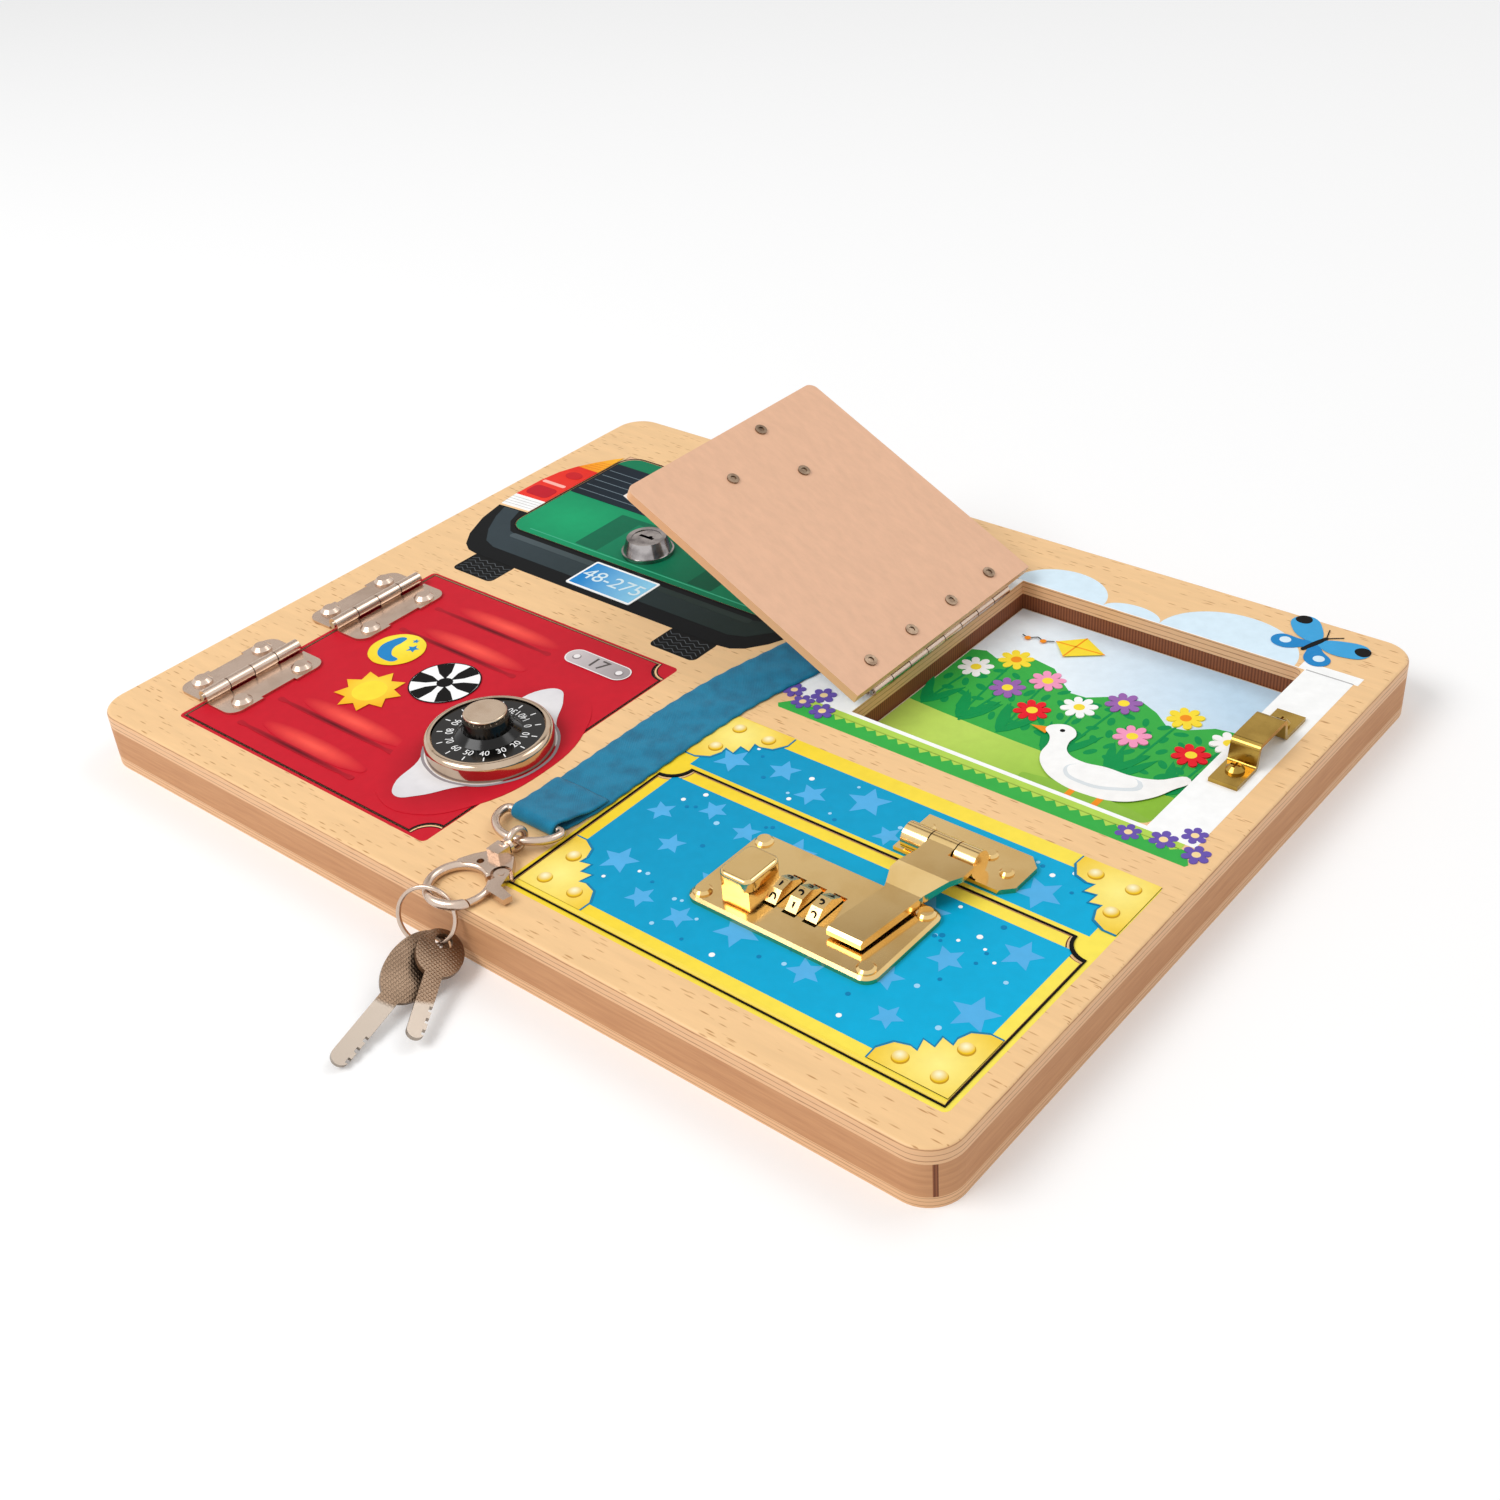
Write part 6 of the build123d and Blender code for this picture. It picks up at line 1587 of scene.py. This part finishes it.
    def door_front(self) -> None:
        """Prints the closed window on the door's other face, which lies underneath while it is open."""
        x, y, z = (value * MM for value in self.hinge)
        turn = (
            Matrix.Translation((x, y, z))
            @ Matrix.Rotation(math.radians(self.open_turn), 4, "Y")
            @ Matrix.Translation((-x, -y, -z))
        )
        front = Print("garden_door_print", "garden_door_body", "garden_print", TOP, turn)
        front.ink(WHITE, GARDEN.outline(-0.12))
        pane = Ink("pane_ink", "e4f3fc", "b9daf1", Spread.LINEAR, (60, 20), (140, 100))
        panes = [
            plate(left, left + 47.0, low, low + 45.0, 1.0) for left in (51.0, 103.0) for low in (12.0, 61.0)
        ]
        front.ink(pane, *panes)
        glint = poly((8, 6), (14, 6), (34, 34), (28, 34))
        front.ink(Ink("pane_shine_ink", "f8fcff"), *(glint.placed(*shape.points[0]) for shape in panes))
        front.done()

    def dress(self) -> None:
        """Gives the garden window's hardware its finishes."""
        dress(NICKEL, "garden_hinge_door_leaf", "strip_hinge_frame_leaves")
        dress(BRIGHT, "strip_hinge_pins", "strip_hinge_frame_rivets")
        dress(BRONZE, "garden_hinge_rivets", "bolt_plate_rivets")
        dress(BRASS, "bolt_plate", "slide_bolt")
        dress(AGED_BRASS, "bolt_keeper", "keeper_screws")

    def build(self) -> None:
        """Makes and dresses everything on the garden window."""
        self.surround()
        self.butterfly()
        self.picture()
        self.door_front()
        self.dress()


@dataclass
class Chest:
    """The blue chest with stars, yellow bands and corner plates, and its brass lock."""

    left: float = 12.0
    right: float = 176.0
    front: float = -130.0
    back: float = -18.5
    gold: Ink = Ink("chest_gold_ink", "f6d533", "fbe75a", Spread.LINEAR, (20, -90), (175, -110))
    blue: Ink = Ink("chest_blue_ink", "0296c2", "02aedb", Spread.LINEAR, (30, -60), (165, -110))
    seed: int = 11
    coin_seed: int = 3
    coin_count: int = 46
    dot_area: float = 330.0
    shade_width: float = 0.6
    flat_front: float = -125.6
    wheel_axis: Point = (-85.7, 20.65)
    wheel_radius: float = 7.5
    wheel_facets: int = 10
    dome_places: tuple[Point, ...] = ((6.4, 5.4), (19.0, 5.4), (6.4, 18.0))

    def corner(self, sheet: Print, x: float, y: float, way_x: int, way_y: int) -> None:
        """Prints a scalloped corner plate with three dome studs.

        Args:
            sheet: The print that it belongs to.
            x: The corner.
            y: The corner.
            way_x: 1 if the plate reaches to the right, -1 if to the left.
            way_y: 1 if the plate reaches to the back, -1 if to the front.
        """
        lobes = (
            (0.0, 0.0), (26.0, 0.0), (26.2, 4.2), (23.4, 8.8), (19.0, 10.2), (16.4, 9.6), (17.6, 14.2),
            (13.4, 13.4), (13.8, 17.8), (9.8, 16.8), (10.2, 19.6), (8.6, 23.6), (4.0, 26.0), (0.0, 26.0),
        )
        order = 1 if way_x * way_y > 0 else -1
        rim = self.shade_width
        inner = [(x + way_x * a, y + way_y * b) for a, b in lobes]
        outer = [(x + way_x * (a + (rim if a else 0)), y + way_y * (b + (rim if b else 0))) for a, b in lobes]
        middle = (x + way_x * 9.0, y + way_y * 9.0)
        gold = Ink(
            f"corner_ink_{x:.0f}_{abs(y):.0f}", "fff08a", "f2c51c", Spread.RADIAL, middle, (22.0, 22.0)
        )
        sheet.ink(Ink("corner_shade_ink", "1b7fa8"), poly(*outer[::order]))
        sheet.ink(gold, poly(*inner[::order]))
        for a, b in self.dome_places:
            u, v = x + way_x * a, y + way_y * b
            name = f"stud_ink_{u:.0f}_{abs(v):.0f}"
            stud = Ink(name, "fffbd6", "efc31e", Spread.RADIAL, (u - 0.5, v + 0.5), (2.6, 2.6))
            sheet.ink(Ink("stud_shade_ink", "c9971a"), disc(u + 0.25, v - 0.35, 2.5))
            sheet.ink(stud, disc(u, v, 2.3))

    def sky(self, sheet: Print, left: float, right: float, front: float, back: float, count: int) -> None:
        """Scatters stars and dots over a blue field.

        Args:
            sheet: The print that they belong to.
            left: Edge of the field.
            right: Edge of the field.
            front: Edge of the field.
            back: Edge of the field.
            count: How many stars are tried.
        """
        draw = random.Random(self.seed + int(back))
        placed: list[Place] = []
        stars = []
        for _ in range(40 * count):
            radius = draw.choice((5.0, 5.8, 6.6, 7.6))
            x = draw.uniform(left + radius, right - radius)
            y = draw.uniform(front + radius, back - radius)
            if all(math.hypot(x - a, y - b) > radius + c + 4.5 for a, b, c in placed) and len(placed) < count:
                placed.append((x, y, radius))
                stars.append(star(x, y, radius, draw.uniform(0, 72)))
        sheet.ink(STAR_BLUE, *stars)
        tries = int((right - left) * (back - front) / self.dot_area)
        for tint in (WHITE, DOT_BLUE, Ink("dot_dark_ink", "0580b4")):
            shapes = []
            for _ in range(tries):
                x = draw.uniform(left + 2, right - 2)
                y = draw.uniform(front + 2, back - 2)
                if all(math.hypot(x - a, y - b) > c + 0.5 for a, b, c in placed):
                    shapes.append(disc(x, y, draw.uniform(0.55, 0.95)))
            sheet.ink(tint, *shapes)

    def surround(self) -> None:
        """Prints the chest's back part and its yellow edge on the board."""
        edge = Print("chest_surround_print", BOARD_BODY, "chest_print")
        opening = CHEST.opening()
        edge.ink(self.gold, ring(plate(self.left, self.right, self.front, self.back, 2.0), opening))
        field = (18.4, 169.6, -49.6, -25.0)
        edge.ink(self.blue, plate(*field))
        self.sky(edge, *field, 11)
        for x, way in ((self.left + 0.4, 1), (self.right - 0.4, -1)):
            self.corner(edge, x, self.back - 0.4, way, -1)
        edge.ink(BLACK, ring(CHEST.outline(CHEST.gap + 0.55), opening))
        edge.done()

    def lid(self) -> None:
        """Prints the chest's front, which is the door."""
        face = Print("chest_door_print", "chest_door_body", "chest_print")
        face.ink(self.gold, poly(*((x, max(y, self.flat_front)) for x, y in CHEST.outline(-0.02).points)))
        field = (18.6, 169.4, -121.8, -57.4)
        face.ink(self.blue, plate(*field))
        self.sky(face, *field, 26)
        for x, way in ((14.7, 1), (173.3, -1)):
            self.corner(face, x, self.flat_front + 0.1, way, 1)
        face.done()

    def picture(self) -> None:
        """Prints the coins behind the chest's door."""
        inside = Print("chest_inside_print", BOARD_BODY, "picture_board", PICTURE_TOP)
        inside.ink(Ink("chest_lining_ink", "7a3e8e"), plate(14.9, 173.1, -127.8, -53.0))
        draw = random.Random(self.coin_seed)
        for _ in range(self.coin_count):
            x, y = draw.uniform(30, 158), draw.uniform(-118, -92)
            inside.level = PICTURE_TOP + 0.04
            inside.ink(Ink("coin_edge_ink", "c98f12"), disc(x, y, 5.4))
            inside.ink(Ink("coin_ink", "fbd33c"), disc(x, y, 4.6))
        inside.level = PICTURE_TOP + 0.1
        for x, tint in ((50, SCARLET), (92, GRASS), (134, SKY_BLUE)):
            inside.ink(tint, poly((x - 8, -74), (x, -86), (x + 8, -74), (x + 5, -69), (x - 5, -69)))
        inside.done()

    def wheels(self) -> None:
        """Paints the figures round the three number wheels."""
        axis_y, axis_z = self.wheel_axis
        apothem = self.wheel_radius * math.cos(math.pi / self.wheel_facets)
        shown = {"left": (87.4, 1), "middle": (95.0, 2), "right": (102.6, 3)}
        for side, (x, first) in shown.items():
            shape = bmesh.new()
            for step in range(self.wheel_facets):
                mesh = figures(str((first - step) % 10), 4.0, 0.06)
                turn = math.radians(360 / self.wheel_facets * (step + 0.5))
                mesh.transform(
                    Matrix.Translation((x * MM, axis_y * MM, axis_z * MM))
                    @ Matrix.Rotation(turn, 4, "X")
                    @ Matrix.Translation((0, 0, apothem * MM))
                )
                shape.from_mesh(mesh)
                bpy.data.meshes.remove(mesh)
            bmesh.ops.remove_doubles(shape, verts=shape.verts, dist=MERGE_DISTANCE)
            bmesh.ops.recalc_face_normals(shape, faces=shape.faces)
            piece(f"wheel_figures_{side}", shape, f"{side}_wheel_body", [BLACK.material()])

    def dress(self) -> None:
        """Gives the chest's hardware its finishes."""
        dress(
            BRASS,
            "lock_plate",
            "lock_plate_rivets",
            "release_button",
            "number_wheel_left",
            "number_wheel_middle",
            "number_wheel_right",
            "hasp_bracket",
            "hasp_pin",
            "hasp_bracket_rivets",
            "hasp_arm",
        )
        dress(BRIGHT, "chest_pivot_pins", "wheel_shaft")

    def build(self) -> None:
        """Makes and dresses everything on the chest."""
        self.surround()
        self.lid()
        self.picture()
        self.wheels()
        self.dress()


@dataclass
class Lanyard:
    """The ribbon with its ring, snap hook, split ring and two keys."""

    route: tuple[Point, ...] = (
        (0.5, -80.0), (0.5, -58.0), (1.0, -30.0), (3.0, -5.0), (8.5, 20.0), (14.0, 50.0)
    )
    width: float = 24.0
    thickness: float = 1.2
    bar_y: float = -103.0
    carried: tuple[str, ...] = ("lanyard_ring", "snap_hook", "hook_trigger", "split_ring", "keys")
    fold_radius: float = 2.05
    fold_width: float = 18.6
    taper: float = 26.0
    tail: float = 16.0

    def centre_line(self) -> list[Vector]:
        """Reads points from the route's smooth curve, from the fixed end to the ring's bar."""
        data = bpy.data.curves.new("ribbon_route", "CURVE")
        data.dimensions = "3D"
        data.resolution_u = 16
        spline = data.splines.new("NURBS")
        points = [(x, y, TOP + self.thickness / 2) for x, y in reversed(self.route)]
        points.append((self.route[0][0], self.bar_y, TOP + self.thickness / 2))
        spline.points.add(len(points) - 1)
        for knot, (x, y, z) in zip(spline.points, points):
            knot.co = (x * MM, y * MM, z * MM, 1)
        spline.order_u = 3
        spline.use_endpoint_u = True
        mesh = curve_mesh(data)
        line = [vertex.co.copy() for vertex in mesh.vertices]
        bpy.data.meshes.remove(mesh)
        return line

    def ribbon(self) -> None:
        """Makes the woven ribbon along its route, round the ring's bar and back along itself."""
        line = self.centre_line()
        flat = len(line)
        x_end = self.route[0][0] * MM
        bar_z = (TOP + self.thickness + 1.45) * MM
        loop = self.fold_radius * MM
        bend = [
            Vector((x_end, self.bar_y * MM - loop * math.sin(a), bar_z - loop * math.cos(a)))
            for a in (math.radians(step) for step in range(15, 181, 15))
        ]
        tail_end = Vector((x_end, (self.bar_y + self.tail) * MM, (TOP + self.thickness * 1.5 + 0.1) * MM))
        tail = [bend[-1].lerp(tail_end, step / 10) for step in range(1, 11)]
        tail.append(tail_end + Vector((0, 6.0 * MM, -0.1 * MM)))
        path = line + bend + tail
        shape = bmesh.new()
        bmesh.ops.create_grid(shape, x_segments=16, y_segments=len(path) - 1, size=0.5)
        shape.verts.ensure_lookup_table()
        woven = shape.loops.layers.uv.new("ribbon")
        lengths = [0.0]
        for before, after in zip(path, path[1:]):
            lengths.append(lengths[-1] + (after - before).length)
        spots = {}
        last = len(path) - 1
        for vertex in shape.verts:
            share = vertex.co.x
            index = min(max(round((vertex.co.y + 0.5) * last), 0), last)
            run = path[min(index + 1, last)] - path[max(index - 1, 0)]
            side = Vector((1, 0, 0)) if index >= flat - 1 else Vector((run.y, -run.x, 0)).normalized()
            at = path[index]
            # The ribbon narrows towards the ring, puffs up along its middle and puckers at its edges.
            near = max(0.0, min(1.0, (at.y / MM - self.bar_y + 4) / self.taper))
            width = (self.fold_width + (self.width - self.fold_width) * (near * near * (3 - 2 * near))) * MM
            puff = 0.35 * math.sin(at.y / MM * 0.21 + share * 5.0) * (1 - abs(2 * share)) * near
            pucker = 0.25 * math.sin(at.y / MM * 0.9 + share * 3.0) * abs(2 * share) ** 3
            out = share * width + pucker * MM * (1 if share > 0 else -1)
            vertex.co = at + side * out + Vector((0, 0, max(puff, 0) * MM))
            spots[vertex.index] = (share * self.width * MM, lengths[index])
        for face in shape.faces:
            for corner in face.loops:
                corner[woven].uv = spots[corner.vert.index]
        bmesh.ops.recalc_face_normals(shape, faces=shape.faces)
        made = piece("ribbon", shape, BOARD_BODY, [RIBBON.material()], True)
        thick = made.modifiers.new("thickness", "SOLIDIFY")
        thick.thickness = self.thickness * MM * 0.92
        thick.offset = 0.0
        rounded = made.modifiers.new("smooth", "SUBSURF")
        rounded.levels = 1
        rounded.render_levels = 1
        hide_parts("lanyard_ribbon")

    def dress(self) -> None:
        """Gives the lanyard's metal its finishes."""
        dress(NICKEL, "lanyard_ring", "snap_hook", "hook_trigger", "split_ring")
        dress(BRIGHT, "lanyard_screw")
        dress(KEY_STEEL, "keys")

    def build(self) -> None:
        """Makes and dresses the lanyard."""
        self.ribbon()
        self.dress()


def main() -> None:
    """Builds the studio and every part of the board in order."""
    logging.basicConfig(level=logging.INFO, format="%(name)s: %(message)s")
    Studio().build()
    Lanyard().build()
    Board().dress()
    Locker().build()
    Trunk().build()
    Garden().build()
    Chest().build()
    for name in ("locker", "trunk", "garden", "chest"):
        dress(Ink(f"{name}_board_ink", "d9c3a4"), f"{name}_picture_board")


if __name__ == "__main__":
    main()
